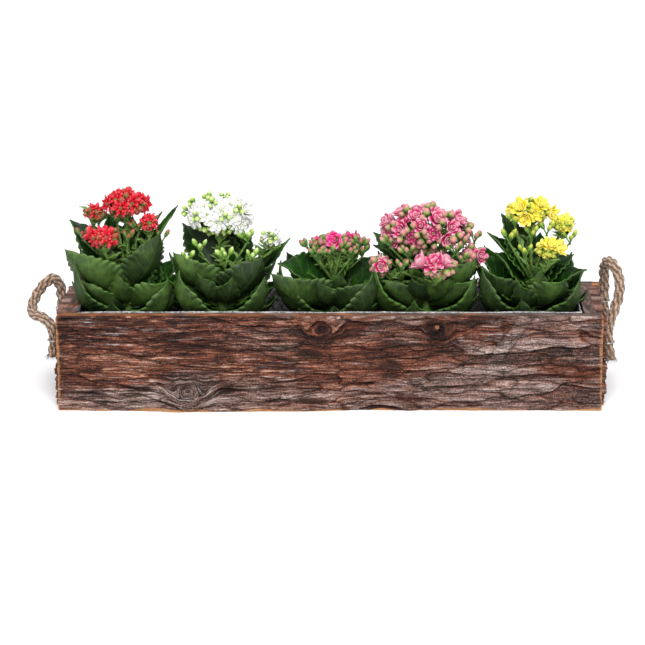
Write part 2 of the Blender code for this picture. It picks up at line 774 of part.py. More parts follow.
def spot(x, point):
    """A place given in millimetres from a plant's axis, in metres in the box's frame."""
    return Vector((x + point[0] * MM, point[1] * MM, point[2] * MM))


def core_radius(radius):
    """How far a head's core reaches where its florets stand at the radius, given in millimetres."""
    return max(radius * MM * CORE_SHARE, radius * MM - CORE_INSET)


def make_plant(colour, x, plan, seed):
    """The green node: stem, leaves, flower stalks and buds."""
    draw = random.Random(seed)
    foot = SOIL_TOP - STEM_HOLE_DEPTH + GAP
    stem_top = FORK_HEIGHT + 0.004
    meshes = [tube_mesh([(x, 0, foot), (x, 0, SOIL_TOP + 0.008), (x, 0, stem_top)], STEM_RADIUS, [1, 1, 0.6])]
    ordered = sorted(plan["leaves"], key=lambda leaf: leaf[0][2])
    for rank, (tip, face, width, bow) in enumerate(ordered):
        out = Vector((tip[0], tip[1], 0)).normalized() * ROOT_SUNK_AT
        root = Vector((x + out.x, out.y, LOWEST_ROOT + rank * ROOT_SPACING))
        meshes.append(leaf_mesh(root, spot(x, tip), Vector(face), width * MM, bow))
    fork = Vector((x, 0, FORK_HEIGHT))
    seats = []
    for centre, radii, count, diameter, depth in plan["heads"]:
        under = spot(x, centre) - Vector((0, 0, core_radius(radii[2]) + GAP))
        seats.append(under)
        knee = under - Vector((0, 0, 0.010))
        middle = fork.lerp(knee, 0.55) + Vector((0, 0, -0.004))
        meshes.append(tube_mesh([fork - Vector((0, 0, 0.006)), middle, knee, under], STALK_RADIUS,
                                [1.3, 1.1, 0.9, 0.9]))
    for base, count in plan["buds"]:
        top = spot(x, base)
        middle = fork.lerp(top, 0.6) + Vector((0, 0, -0.003))
        meshes.append(tube_mesh([fork - Vector((0, 0, 0.006)), middle, top], STALK_RADIUS, [1.1, 0.8, 0.6]))
        for index in range(count):
            lean = math.radians(14 + 34 * math.sqrt((index + 0.5) / count))
            angle = index * GOLDEN_ANGLE + draw.uniform(-0.3, 0.3)
            out = Vector((math.sin(lean) * math.cos(angle), math.sin(lean) * math.sin(angle), math.cos(lean)))
            meshes.append(stand(bud_mesh(draw.uniform(0.85, 1.15)), top - out * 0.002, out, angle))
    fuse(f"{colour}_plant", meshes, LEAF, PLANT_KEEP, seats)


def make_head(name, centre, radii, count, diameter, depth, material, seed):
    """One flower head: florets set by the golden angle over a smaller core, which they stand out of."""
    draw = random.Random(seed)
    bm = bmesh.new()
    bmesh.ops.create_icosphere(bm, subdivisions=2 if count > 8 else 1, radius=1.0)
    bmesh.ops.scale(bm, vec=Vector([core_radius(radius) for radius in radii]), verts=bm.verts)
    bmesh.ops.translate(bm, vec=centre, verts=bm.verts)
    meshes = [mesh_from(bm, "core")]
    lowest = -0.30 if count > 8 else 0.10
    for index in range(count):
        rise = 1.0 - (index + 0.5) / count * (1.0 - lowest)
        angle = index * GOLDEN_ANGLE + seed
        ring = math.sqrt(1.0 - rise * rise)
        unit = Vector((ring * math.cos(angle), ring * math.sin(angle), rise))
        place = centre + Vector([unit[i] * radii[i] * MM for i in range(3)])
        out = Vector([unit[i] / radii[i] for i in range(3)]).normalized()
        out = (out + Vector((0, -0.10, 0.25))).normalized()
        size = draw.uniform(0.9, 1.08)
        floret = floret_mesh(diameter * MM * size, depth * MM)
        meshes.append(stand(floret, place, out, draw.uniform(0, math.pi)))
    fuse(name, meshes, material, BLOOM_KEEP, [centre - Vector((0, 0, core_radius(radii[2])))])


def make_plants():
    """The five pots with their plants and flower heads."""
    for number, (colour, plan) in enumerate(PLANTS.items(), start=1):
        x = plan["x"] * MM
        make_pot(number, x)
        make_plant(colour, x, plan, number)
        petals = plain_material(f"{colour}_petals", PETAL_COLOURS[colour], 0.5)
        for index, (centre, radii, count, diameter, depth) in enumerate(plan["heads"], start=1):
            name = f"{colour}_bloom_{index}"
            make_head(name, spot(x, centre), radii, count, diameter, depth, petals, number * 10 + index)


make_box()
make_film()
make_handles()
make_plants()
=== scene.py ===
# %% [markdown]
# A long planter box faced with bark, two rope handles, and five potted kalanchoes in bloom.
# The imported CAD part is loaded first. Every piece below is made in its frame: metres, +Z up,
# +X along the box, -Y its front. A finer piece then stands for each plain solid of the part.

import math
import random

import bpy
import numpy as np
from mathutils import Matrix, Vector, noise


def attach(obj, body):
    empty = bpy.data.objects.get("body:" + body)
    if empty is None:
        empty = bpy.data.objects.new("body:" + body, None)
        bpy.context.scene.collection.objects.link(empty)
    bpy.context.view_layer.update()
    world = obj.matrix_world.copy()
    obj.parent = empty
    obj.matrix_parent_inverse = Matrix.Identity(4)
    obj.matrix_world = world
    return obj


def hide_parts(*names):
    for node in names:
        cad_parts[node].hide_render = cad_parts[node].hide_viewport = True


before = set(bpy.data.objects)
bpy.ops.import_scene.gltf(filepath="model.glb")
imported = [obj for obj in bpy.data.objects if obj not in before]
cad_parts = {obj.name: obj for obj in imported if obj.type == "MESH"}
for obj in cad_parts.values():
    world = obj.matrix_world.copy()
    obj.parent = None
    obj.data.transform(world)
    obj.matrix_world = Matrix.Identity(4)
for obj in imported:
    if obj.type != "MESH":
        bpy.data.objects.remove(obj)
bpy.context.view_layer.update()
MM = 0.001
print("CAD nodes:", len(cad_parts))

# %% [markdown]
# Blender's operators act on whatever is selected, so each step selects its own pieces first.
# These few helpers select, apply modifiers, copy a mesh to a place, join copies and hand a piece
# to the frame. A copy gets a mesh of its own, so that no two pieces share one.


# %% Helpers for pieces
def select_only(*objects):
    """Selects these objects and makes the first one active."""
    bpy.ops.object.select_all(action="DESELECT")
    for item in objects:
        item.select_set(True)
    bpy.context.view_layer.objects.active = objects[0]


def apply_modifiers(piece):
    """Applies every modifier of a piece, in order."""
    select_only(piece)
    for modifier in list(piece.modifiers):
        bpy.ops.object.modifier_apply(modifier=modifier.name)


def thicken(piece, thickness, back_material=0):
    """Gives a sheet its thickness, half to each side. Its back may have a material of its own."""
    flesh = piece.modifiers.new("flesh", "SOLIDIFY")
    flesh.thickness = thickness
    flesh.offset = 0.0
    flesh.material_offset = back_material
    apply_modifiers(piece)


def copy_of(template, matrix):
    """A copy of a template with its own mesh, moved by the matrix."""
    mesh = template.data.copy()
    mesh.transform(matrix)
    made = bpy.data.objects.new(template.name + "_copy", mesh)
    bpy.context.scene.collection.objects.link(made)
    return made


def joined(name, pieces):
    """Joins pieces in one object with that name."""
    select_only(*pieces)
    if len(pieces) > 1:
        bpy.ops.object.join()
    made = bpy.context.view_layer.objects.active
    made.name = name
    made.data.name = name
    return made


def paint(piece, *materials):
    """Gives a piece its materials and keeps the material number of each face."""
    numbers = [face.material_index for face in piece.data.polygons]
    piece.data.materials.clear()
    for material in materials:
        piece.data.materials.append(material)
    piece.data.polygons.foreach_set("material_index", numbers)


def belongs(piece, slot, *nodes):
    """The piece rides on the box and stands for these nodes. The slot is not used."""
    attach(piece, "root")
    if nodes:
        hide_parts(*nodes)
    triangles = sum(len(face.vertices) - 2 for face in piece.data.polygons)
    print(f"{piece.name}: {triangles} triangles")


def coordinates(mesh):
    """The places of a mesh's vertices as an array with a row for each."""
    flat = np.empty(len(mesh.vertices) * 3)
    mesh.vertices.foreach_get("co", flat)
    return flat.reshape(-1, 3)


def place_vertices(mesh, places):
    """Writes the array of places back to the mesh."""
    mesh.vertices.foreach_set("co", np.asarray(places, dtype=float).ravel())
    mesh.update()


def store(mesh, name, values):
    """Keeps one number for each vertex under that name, for a material to read."""
    layer = mesh.attributes.new(name, "FLOAT", "POINT")
    layer.data.foreach_set("value", np.asarray(values, dtype=float))


def store_uv(mesh, name, pairs):
    """Keeps a pair of numbers for each vertex as the UV map with that name."""
    layer = mesh.uv_layers.get(name) or mesh.uv_layers.new(name=name)
    corners = np.empty(len(mesh.loops), dtype=int)
    mesh.loops.foreach_get("vertex_index", corners)
    layer.data.foreach_set("uv", np.asarray(pairs, dtype=float)[corners].ravel())
    mesh.uv_layers.active = layer
    layer.active_render = True


# %% [markdown]
# Colours are read off as sRGB hex values, but Blender's shaders work in linear light, so one
# function turns them. Another adds a node, whose inputs are values, hex colours or the outputs of
# other nodes.


# %% Helpers for materials
def colour(code):
    """An sRGB hex value as linear red, green, blue and alpha."""
    parts = [int(code[i:i + 2], 16) / 255 for i in (1, 3, 5)]
    linear = [p / 12.92 if p <= 0.04045 else ((p + 0.055) / 1.055) ** 2.4 for p in parts]
    return (*linear, 1.0)


def add_node(tree, kind, settings=None, inputs=None):
    """Adds a node. An input is a value, a hex colour, or the output socket of another node."""
    node = tree.nodes.new("ShaderNode" + kind)
    for name, value in (settings or {}).items():
        setattr(node, name, value)
    for key, value in (inputs or {}).items():
        if isinstance(value, bpy.types.NodeSocket):
            tree.links.new(value, node.inputs[key])
        else:
            node.inputs[key].default_value = colour(value) if isinstance(value, str) else value
    return node


def new_material(name, roughness, ior=1.5, extra=None):
    """A material with its node tree and its Principled shader, whose extra inputs may be set."""
    made = bpy.data.materials.new(name)
    made.use_nodes = True
    shader = made.node_tree.nodes["Principled BSDF"]
    for key, value in {"Roughness": roughness, "IOR": ior, **(extra or {})}.items():
        shader.inputs[key].default_value = value
    return made, made.node_tree, shader


# %% [markdown]
# Every material is a chain of the same few steps: noise over the real size of the piece, numbers
# kept on its mesh, sums of these, a colour for each value, and a bump whose depth is in metres.


# %% Steps of a material
def noise_over(tree, scale, detail=2.0, roughness=0.5, distortion=0.0, place=None, output="Fac"):
    """Noise with so many waves per metre, over the piece itself or over another place."""
    if place is None:
        place = add_node(tree, "TexCoord").outputs["Object"]
    return add_node(tree, "TexNoise", inputs={
        "Vector": place, "Scale": scale, "Detail": detail, "Roughness": roughness,
        "Distortion": distortion}).outputs[output]


def scaled(tree, place, scale):
    """A place with each axis scaled."""
    return add_node(tree, "Mapping", inputs={"Vector": place, "Scale": scale}).outputs[0]


def kept(tree, name):
    """A number kept on the mesh."""
    return add_node(tree, "Attribute", {"attribute_name": name}).outputs["Fac"]


def uv_place(tree, name):
    """The place of a point on the UV map with that name."""
    return add_node(tree, "UVMap", {"uv_map": name}).outputs[0]


def axes(tree, place):
    """The separate X, Y and Z of a place."""
    return add_node(tree, "SeparateXYZ", inputs={0: place}).outputs


def math_of(tree, operation, *values, clamp=False):
    """One sum on one, two or three values."""
    settings = {"operation": operation, "use_clamp": clamp}
    return add_node(tree, "Math", settings, dict(enumerate(values))).outputs[0]


def vector_of(tree, operation, *values):
    """One sum on two or three vectors."""
    return add_node(tree, "VectorMath", {"operation": operation}, dict(enumerate(values))).outputs[0]


def sum_of(tree, start, *terms):
    """The start, plus value * factor for each of the terms."""
    for value, factor in reversed(terms):
        start = math_of(tree, "MULTIPLY_ADD", value, factor, start)
    return start


def spread(tree, value, low, high, to_low=0.0, to_high=1.0):
    """A value spread from one range to another and held there."""
    return add_node(tree, "MapRange", inputs={
        "Value": value, "From Min": low, "From Max": high,
        "To Min": to_low, "To Max": to_high}).outputs[0]


def mixed(tree, share, first, second):
    """Two colours mixed by a share."""
    inputs = {0: share, 6: first, 7: second}
    return add_node(tree, "Mix", {"data_type": "RGBA"}, inputs).outputs[2]


def ramp(tree, value, *stops):
    """A colour for each value, between stops of (value, hex colour)."""
    node = add_node(tree, "ValToRGB", inputs={"Fac": value})
    elements = node.color_ramp.elements
    while len(elements) < len(stops):
        elements.new(0.5)
    for element, (position, code) in zip(elements, stops):
        element.position = position
        element.color = colour(code)
    return node.outputs[0]


def coat(tree, shader, skin, height=None, depth=0.0, strength=1.0):
    """Gives the shader its colour, and a bump of that depth in metres."""
    tree.links.new(skin, shader.inputs["Base Color"])
    if height is not None:
        bump = add_node(tree, "Bump", inputs={"Height": height, "Distance": depth, "Strength": strength})
        tree.links.new(bump.outputs[0], shader.inputs["Normal"])


def mottled(name, roughness, stops, scale, detail=2.0, fineness=0.5, ior=1.5, extra=None, depth=None):
    """A plain material, mottled by noise with so many waves per metre."""
    made, tree, shader = new_material(name, roughness, ior, extra)
    mottle = noise_over(tree, scale, detail, fineness)
    coat(tree, shader, ramp(tree, mottle, *stops), mottle if depth else None, depth)
    return made


# %% [markdown]
# The camera stands where the photographer stood: in front, a little to the right, 15 degrees
# above the horizon and far off, since the box's edges hardly converge. Its angle and distance
# were worked out from the corners of the front slab, whose real size is known.

# %% Camera
CAMERA_ELEVATION = math.radians(15.0)
CAMERA_AZIMUTH = math.radians(2.2)
CAMERA_ROLL = math.radians(-0.57)
CAMERA_DISTANCE = 2.30
CAMERA_AIM = Vector((-0.0057, -0.075, 0.092))

toward = Vector((
    math.sin(CAMERA_AZIMUTH) * math.cos(CAMERA_ELEVATION),
    -math.cos(CAMERA_AZIMUTH) * math.cos(CAMERA_ELEVATION),
    math.sin(CAMERA_ELEVATION),
))
camera_data = bpy.data.cameras.new("camera")
camera_data.lens = 128.0
camera_data.sensor_width = 36.0
camera = bpy.data.objects.new("camera", camera_data)
bpy.context.scene.collection.objects.link(camera)
turn = (-toward).to_track_quat("-Z", "Y").to_matrix().to_4x4()
place = Matrix.Translation(CAMERA_AIM + toward * CAMERA_DISTANCE)
camera.matrix_world = place @ turn @ Matrix.Rotation(CAMERA_ROLL, 4, "Z")
bpy.context.scene.camera = camera
print("camera at", [round(value, 3) for value in camera.matrix_world.translation])

# %% [markdown]
# A product photo like this is lit by large soft boxes over a white sweep. A sun with a wide disc
# lights the whole sweep evenly from above and a little in front, as a big overhead box does. An
# even world fills the shadows, and one soft box in front and above gives the gloss on the leaves.
# The standard view keeps the sweep white and the petals as strong as the photo has them, where a
# filmic view would turn both grey.

# %% Floor and lights
FLOOR_SIZE = 16.0
WORLD_STRENGTH = 0.66
SUN_FROM = Vector((0.06, -0.48, 0.87))
SUN = {"energy": 2.30, "angle": math.radians(42.0)}
GLOSS_LIGHT_AT = Vector((0.15, -1.5, 1.2))
GLOSS_LIGHT = {"shape": "SQUARE", "size": 0.7, "energy": 13.0}
LIT_POINT = Vector((0, 0, 0.1))

bpy.ops.object.select_all(action="DESELECT")
bpy.ops.mesh.primitive_plane_add(size=FLOOR_SIZE, location=(0, 0, 0))
floor = bpy.context.object
floor.name = "studio_floor"
floor_paint, _, floor_shader = new_material("matt_white_sweep", 0.9)
floor_shader.inputs["Base Color"].default_value = colour("#f4f4f6")
paint(floor, floor_paint)

world = bpy.data.worlds.new("studio")
world.use_nodes = True
background = world.node_tree.nodes["Background"]
background.inputs["Color"].default_value = colour("#ffffff")
background.inputs["Strength"].default_value = WORLD_STRENGTH
bpy.context.scene.world = world
bpy.context.scene.view_settings.view_transform = "Standard"


def hang_light(name, kind, settings, place, way):
    """A lamp at a place, whose light goes that way."""
    data = bpy.data.lights.new(name, kind)
    for key, value in settings.items():
        setattr(data, key, value)
    lamp = bpy.data.objects.new(name, data)
    lamp.location = place
    lamp.rotation_euler = way.to_track_quat("-Z", "Y").to_euler()
    bpy.context.scene.collection.objects.link(lamp)


hang_light("gloss_light", "AREA", GLOSS_LIGHT, GLOSS_LIGHT_AT, LIT_POINT - GLOSS_LIGHT_AT)
hang_light("key_light", "SUN", SUN, (0, 0, 0), -SUN_FROM)


# %% [markdown]
# Bark is a stack of torn layers: long ridges of fibre, flakes with sharp ledges, and knots that
# the fibres flow around. Sculpting it by hand would take days. A fine grid is raised by a height
# made of noise instead: the broad swell is the part's own, so the slab keeps its form, and finer
# layers are stretched along the grain. Near a knot the grain is bent into rings before the noise
# is read.

# %% Grain noise
LATTICE = 64


def grain_noise(x, y, seed):
    """Smooth noise from about -1 to 1 over arrays of x and y, the same in each run."""
    angles = np.random.default_rng(seed).random((LATTICE, LATTICE)) * 2 * math.pi
    left = np.floor(x).astype(int)
    low = np.floor(y).astype(int)
    fx = x - left
    fy = y - low
    ease_x = fx ** 3 * (fx * (fx * 6 - 15) + 10)
    ease_y = fy ** 3 * (fy * (fy * 6 - 15) + 10)

    def corner(dx, dy):
        angle = angles[(left + dx) % LATTICE, (low + dy) % LATTICE]
        return np.cos(angle) * (fx - dx) + np.sin(angle) * (fy - dy)

    lower = corner(0, 0) + ease_x * (corner(1, 0) - corner(0, 0))
    upper = corner(0, 1) + ease_x * (corner(1, 1) - corner(0, 1))
    return 1.5 * (lower + ease_y * (upper - lower))


def swell(u, v, seed):
    """The broad ridges of a slab, as the part has them."""
    broad = [noise.noise(Vector((a * 8.0, b * 40.0, seed))) for a, b in zip(u, v)]
    fine = [noise.noise(Vector((a * 22.0, b * 90.0, seed + 7.0))) for a, b in zip(u, v)]
    return 0.0034 * np.array(broad) + 0.0014 * np.array(fine)


def oval_spot(u, v, centre_u, centre_v, length, height):
    """One at the centre of an oval spot, fading over its length and height."""
    return np.exp(-((u - centre_u) / length) ** 2 - ((v - centre_v) / height) ** 2)


def round_spot(u, v, centre_u, centre_v, width):
    """One at the centre of a round spot, fading over its width."""
    return oval_spot(u, v, centre_u, centre_v, width, width)


def faded(value, width):
    """Zero up to zero, one beyond the width, and a straight line between."""
    return np.clip(value / width, 0, 1)


# %% [markdown]
# The fine bark height has four layers. Torn plates about 72 by 12 mm each stand at a height of
# their own and lift at their lower edge, with a crack between neighbours. Flakes of 17 by 4 mm do
# the same. Fibres are noise folded at zero, which leaves sharp crests 2.4 mm apart. Pits are rare
# deep holes. Each plate's tone and the darkness of the cracks and pits are kept for the colour; that
# darkness is partly the darker bark inside them and partly painted shade.

# %% Grain and torn plates
FIBRE_SPACING = 0.0024
PLATE_SIZE = (0.072, 0.0115)
FLAKE_SIZE = (0.017, 0.0036)


def grain_around(u, v, knots):
    """The height at which the grain is read: wavy, and in rings about each knot."""
    flow = v + 0.0030 * grain_noise(u * 6.0, v * 9.0, 90) + 0.0009 * grain_noise(u * 30.0, v * 60.0, 91)
    for centre_u, centre_v, size in knots:
        distance = np.hypot((u - centre_u) * 0.75, v - centre_v)
        distance = distance + 0.0022 * grain_noise(u * 100.0, v * 100.0, 92)
        pull = 0.88 * np.exp(-(distance / size) ** 4)
        flow = flow * (1 - pull) + (centre_v + distance) * pull
    return flow


def torn_plates(u, flow, size, seed):
    """Jittered cells: a random tone for each, the distance to its crack, and the way to its middle."""
    dots = np.random.default_rng(seed).random((LATTICE, LATTICE, 3))
    x = u / size[0] + 0.45 * grain_noise(u * 1.6 / size[0], flow / size[1], seed + 1)
    y = flow / size[1] + 0.40 * grain_noise(u * 2.2 / size[0], flow / size[1], seed + 2)
    column = np.floor(x).astype(int)
    row = np.floor(y).astype(int)
    first = np.full(len(u), 9.0)
    second = np.full(len(u), 9.0)
    tone = np.zeros(len(u))
    upward = np.zeros(len(u))
    for dx in (-1, 0, 1):
        for dy in (-1, 0, 1):
            dot = dots[(column + dx) % LATTICE, (row + dy) % LATTICE]
            away_x = column + dx + dot[:, 0] - x
            away_y = row + dy + dot[:, 1] - y
            distance = np.hypot(away_x, away_y)
            nearer = distance < first
            second = np.where(nearer, first, np.minimum(second, distance))
            tone = np.where(nearer, dot[:, 2], tone)
            upward = np.where(nearer, away_y, upward)
            first = np.where(nearer, distance, first)
    return tone, second - first, upward


# %% [markdown]
# The layers are then added up. How platy a stretch is decides between broad torn plates and bare
# fibres, since the photo's bark is flaky at its right and stringy at its left.

# %% Fine bark height
PLATE_STEP, PLATE_LIFT, CRACK_DEPTH = 0.0030, 0.0014, 0.0016
FLAKE_STEP, FLAKE_LIFT, CHIP_DEPTH = 0.0010, 0.0005, 0.0004
FIBRE_RISE, PIT_DEPTH, CRUMB_RISE = 0.0008, 0.0040, 0.00025


def fine_bark(u, v, seed, knots, platy=0.8):
    """Fine height in metres, tone, darkness of cracks and pits (partly painted shade), the grain's height,
    and how platy.
    """
    flow = grain_around(u, v, knots)
    plate_tone, plate_edge, plate_up = torn_plates(u, flow, PLATE_SIZE, seed + 10)
    flake_tone, flake_edge, flake_up = torn_plates(u, flow, FLAKE_SIZE, seed + 20)
    fibres = 1 - 2 * np.abs(grain_noise(u * 26.0, flow / FIBRE_SPACING, seed + 1))
    pits = np.clip(grain_noise(u * 24.0, flow * 140.0, seed + 3) - 0.36, 0.0, 1.0)
    crumbs = grain_noise(u * 190.0, v * 420.0, seed + 4)
    crack = np.exp(-(plate_edge / 0.10) ** 2)
    chip = np.exp(-(flake_edge / 0.14) ** 2)
    fine = platy * (PLATE_STEP * (plate_tone - 0.5) + PLATE_LIFT * plate_up - CRACK_DEPTH * crack)
    fine += FLAKE_STEP * (flake_tone - 0.5) + FLAKE_LIFT * flake_up - CHIP_DEPTH * chip
    fine += FIBRE_RISE * (1.3 - 0.7 * platy) * fibres - PIT_DEPTH * pits + CRUMB_RISE * crumbs
    tone = 0.60 * plate_tone + 0.40 * flake_tone
    # Cracks, flake edges and pits are darkened where they sink: partly darker bark, partly painted shade.
    dark = np.clip(platy * (0.55 * crack + 0.30 * chip) + 3.0 * pits, 0, 1)
    return fine, tone, dark, flow, platy + 0 * u


# %% [markdown]
# A slab starts as a grid primitive. Its edge is selected in edit mode and extruded twice: the
# first strip is the bark's own thickness, the second the sawn wood behind it. The last loop is
# filled, and each vertex is put at its height. The strip stays bark along the top and all round
# the end slabs. Elsewhere it was sawn off with the wood, and the corners are worn to bare wood.

# %% Slab maker
BOX_LENGTH = 0.550
BOX_DEPTH = 0.150
BOX_HEIGHT = 0.097
SLAB_THICKNESS = 0.018
BACK_SLAB_OVERHANG = 0.009
BARK_DEPTH = 0.0060
GAP = 0.0003
INNER_X = BOX_LENGTH / 2 - SLAB_THICKNESS
INNER_Y = BOX_DEPTH / 2 - SLAB_THICKNESS
COARSE = 1


def bare_wood(u, v, tone, length):
    """Where the bark is worn off: along the lower edge, at a pale spot, at a long slab's ends."""
    lower_edge = 0.0014 + 0.0034 * grain_noise(u * 32.0, u * 0 + 0.5, 95)
    bare = np.maximum(faded(lower_edge - v, 0.0006), faded(tone - 1.6, 0.3))
    if length > BOX_DEPTH:
        worn = 0.0022 + 0.0016 * grain_noise(v * 90.0, v * 0 + 0.5, 96)
        bare = np.maximum(bare, 0.8 * faded(worn - (length / 2 - np.abs(u)), 0.0008))
    return bare


def slab_grid(columns, rows):
    """A unit grid with two strips extruded from its edge and its back filled."""
    bpy.ops.object.select_all(action="DESELECT")
    bpy.ops.mesh.primitive_grid_add(x_subdivisions=columns // COARSE, y_subdivisions=rows // COARSE, size=1.0)
    slab = bpy.context.object
    grid_count = len(slab.data.vertices)
    bpy.ops.object.mode_set(mode="EDIT")
    bpy.ops.mesh.select_mode(type="EDGE")
    bpy.ops.mesh.select_all(action="DESELECT")
    bpy.ops.mesh.select_non_manifold()
    bpy.ops.mesh.extrude_edges_move()
    bpy.ops.mesh.extrude_edges_move()
    bpy.ops.mesh.edge_face_add()
    bpy.ops.object.mode_set(mode="OBJECT")
    return slab, grid_count


def make_slab(name, length, columns, rows, relief, place, turn):
    """A sawn slab with a bark face, standing at its place."""
    slab, grid_count = slab_grid(columns, rows)
    flat = coordinates(slab.data)
    u = flat[:, 0] * length
    v = (flat[:, 1] + 0.5) * BOX_HEIGHT
    broad, (fine, tone, dark, flow, platy), warm = relief(u, v)
    out = broad + fine
    strip_end = grid_count + (len(flat) - grid_count) // 2
    out[grid_count:strip_end] = np.minimum(out[grid_count:strip_end], 0.0) - BARK_DEPTH
    out[strip_end:] = -SLAB_THICKNESS
    place_vertices(slab.data, np.column_stack([u, -out, v]))
    # The crack darkness kept as bark_crack is partly painted shade in the bark's recesses.
    for key, values in (("height", fine * 1000), ("tone", tone), ("platy", faded(platy - 0.5, 0.5)),
                        ("crack", dark), ("warm", warm), ("bare", bare_wood(u, v, tone, length))):
        store(slab.data, "bark_" + key, values)
    store_uv(slab.data, "bark_map", np.column_stack([u, flow]))
    for face in slab.data.polygons:
        corners = list(face.vertices)
        strip_is_bark = length < BOX_DEPTH or all(v[corners] > BOX_HEIGHT - 0.0005)
        bark_limit = strip_end if strip_is_bark else grid_count
        face.material_index = 0 if max(corners) < bark_limit else 1
    slab.data.transform(Matrix.Translation(place) @ Matrix.Rotation(turn, 4, "Z"))
    bpy.ops.object.mode_set(mode="EDIT")
    bpy.ops.mesh.select_all(action="SELECT")
    bpy.ops.mesh.normals_make_consistent(inside=False)
    bpy.ops.object.mode_set(mode="OBJECT")
    slab.name = name
    slab.data.name = name
    return slab


# %% [markdown]
# The four slabs differ in their knots and swellings. The front slab has a large ringed knot at
# its lower left, one in a tangle at the middle of its top edge, and a dark rough one with a cream
# dot to the right. Beside that lie a raised plate and a slanting splinter, rimmed by painted shadow.
# Its lower edge swells forward at the left. All places are metres from the slab's middle and foot.

# %% Relief of the front slab
FRONT_KNOTS = [(-0.142, 0.022, 0.017), (-0.006, 0.086, 0.014), (0.112, 0.082, 0.010)]
FRONT_MOUNDS = [(-0.145, 0.026, 0.022, 0.0045), (-0.008, 0.088, 0.011, 0.0025), (0.112, 0.084, 0.014, 0.0035)]
WARM_SPOTS = [
    (-0.225, 0.052, 0.060, 0.014, 1.5), (-0.200, 0.085, 0.080, 0.016, 0.9),
    (-0.160, 0.012, 0.130, 0.016, -0.80), (-0.008, 0.086, 0.016, 0.010, 0.60),
    (0.035, 0.050, 0.045, 0.016, 1.2), (0.150, 0.083, 0.030, 0.014, 1.1),
    (0.245, 0.040, 0.035, 0.010, 0.60), (0.130, 0.030, 0.070, 0.014, -0.30),
    (-0.060, 0.070, 0.030, 0.014, -0.35),
]
SPLINTER_AT = (0.180, 0.072)
SPLINTER_LEAN = 0.95
SPLINTER_HALF_WIDTH = 0.006
PLATE_AT = (0.152, 0.0825)
PLATE_HALF_SIZE = (0.022, 0.0115)
EDGE_WIDTH = 0.0007


def loose_pieces(u, v):
    """The plate and the splinter beside the dark knot: broad height, fine height, and the painted shadow
    along their edges.
    """
    away_u, away_v = u - SPLINTER_AT[0], v - SPLINTER_AT[1]
    along = away_u * math.cos(SPLINTER_LEAN) + away_v * math.sin(SPLINTER_LEAN)
    across = -away_u * math.sin(SPLINTER_LEAN) + away_v * math.cos(SPLINTER_LEAN)
    within_ends = np.exp(-(along / 0.030) ** 4)
    broad = 0.0035 * np.exp(-(along / 0.028) ** 2 - (across / 0.009) ** 2)
    splinter = 1 / (1 + np.exp(-(SPLINTER_HALF_WIDTH - np.abs(across)) / EDGE_WIDTH))
    inside = np.minimum(PLATE_HALF_SIZE[0] - np.abs(u - PLATE_AT[0]),
                        1.9 * (PLATE_HALF_SIZE[1] - np.abs(v - PLATE_AT[1])))
    inside += 0.0022 * grain_noise(u * 90, v * 200, 99)
    fine = 0.0026 * splinter * within_ends + 0.0024 / (1 + np.exp(-np.clip(inside / EDGE_WIDTH, -30, 30)))
    # Painted shadow: a thin band just outside the edges of the plate and of the splinter.
    rim_shadows = np.exp(-((inside + 0.0010) / 0.0011) ** 2)
    rim_shadows += np.exp(-((np.abs(across) - 0.0068) / 0.0010) ** 2) * within_ends
    return broad, fine, rim_shadows


def front_relief(u, v):
    """Broad height, fine layers and warmth of colour of the front slab."""
    loose_broad, loose_fine, rim_shadows = loose_pieces(u, v)
    broad = swell(u, v, 2.0) + loose_broad
    for centre_u, centre_v, width, rise in FRONT_MOUNDS:
        broad += rise * round_spot(u, v, centre_u, centre_v, width)
    broad += 0.006 * np.clip(1 - v / 0.035, 0, None) * np.exp(-((u + 0.125) / 0.11) ** 2)
    platy = np.clip(0.70 + u / 0.60, 0.55, 0.90)
    fine, tone, dark, flow, platy = fine_bark(u, v, 11, FRONT_KNOTS, platy)
    hollow = round_spot(u, v, -0.145, 0.026, 0.006) + 0.7 * round_spot(u, v, -0.008, 0.087, 0.005)
    rough = oval_spot(u, v, 0.108, 0.082, 0.010, 0.013)
    tangled = oval_spot(u, v, -0.012, 0.085, 0.022, 0.012)
    snags = np.clip(0.4 + 1.5 * grain_noise(u * 150, v * 260, 98), 0, 1)
    fine += loose_fine - 0.0012 * hollow - 0.0018 * tangled * snags
    fine -= 0.0042 * rough * (1 + grain_noise(u * 260, v * 260, 97))
    pale = round_spot(u, v, 0.109, 0.086, 0.0021)
    shaded = oval_spot(u, v, -0.215, 0.086, 0.060, 0.012)
    ringed = round_spot(u, v, -0.145, 0.026, 0.024)
    fresh = oval_spot(u, v, -0.225, 0.052, 0.060, 0.014)
    tone = tone + 3.0 * pale - 0.90 * shaded - 0.60 * ringed + 0.50 * fresh - 0.35 * rough
    # Painted shade darkens the knot hollows, the sunken snags of the tangle and the band round the loose
    # pieces; the rough knot is dark of itself.
    dark = dark + 0.25 * hollow + 2.0 * rough * snags + 0.8 * tangled * snags + 0.7 * rim_shadows
    dark = np.clip(dark, 0, 1) * (1 - np.clip(2 * pale, 0, 1))
    warm = 0.56 - 1.7 * np.clip(u + 0.02, -0.06, 0.20)
    for *spot, strength in WARM_SPOTS:
        warm += strength * oval_spot(u, v, *spot)
    return broad, (fine, tone, dark, flow, platy), warm


# %% [markdown]
# The back slab can't be seen in the photo. It gets one knot and the same kind of bark. The end
# slabs bulge at half their height and are pared flat under the two legs of the rope.

# %% Relief of the other slabs
BARK_AT_ROPE = 0.0030
PARED_HALF_WIDTH = 0.0130
ROPE_LEG_Y = 0.031


def back_relief(u, v):
    """Broad height, fine layers and warmth of colour of the back slab."""
    broad = swell(u, v, 31.0) + 0.003 * round_spot(u, v, 0.09, 0.05, 0.02)
    return broad, fine_bark(u, v, 21, [(0.09, 0.05, 0.020)]), 0.5 + 0.8 * u


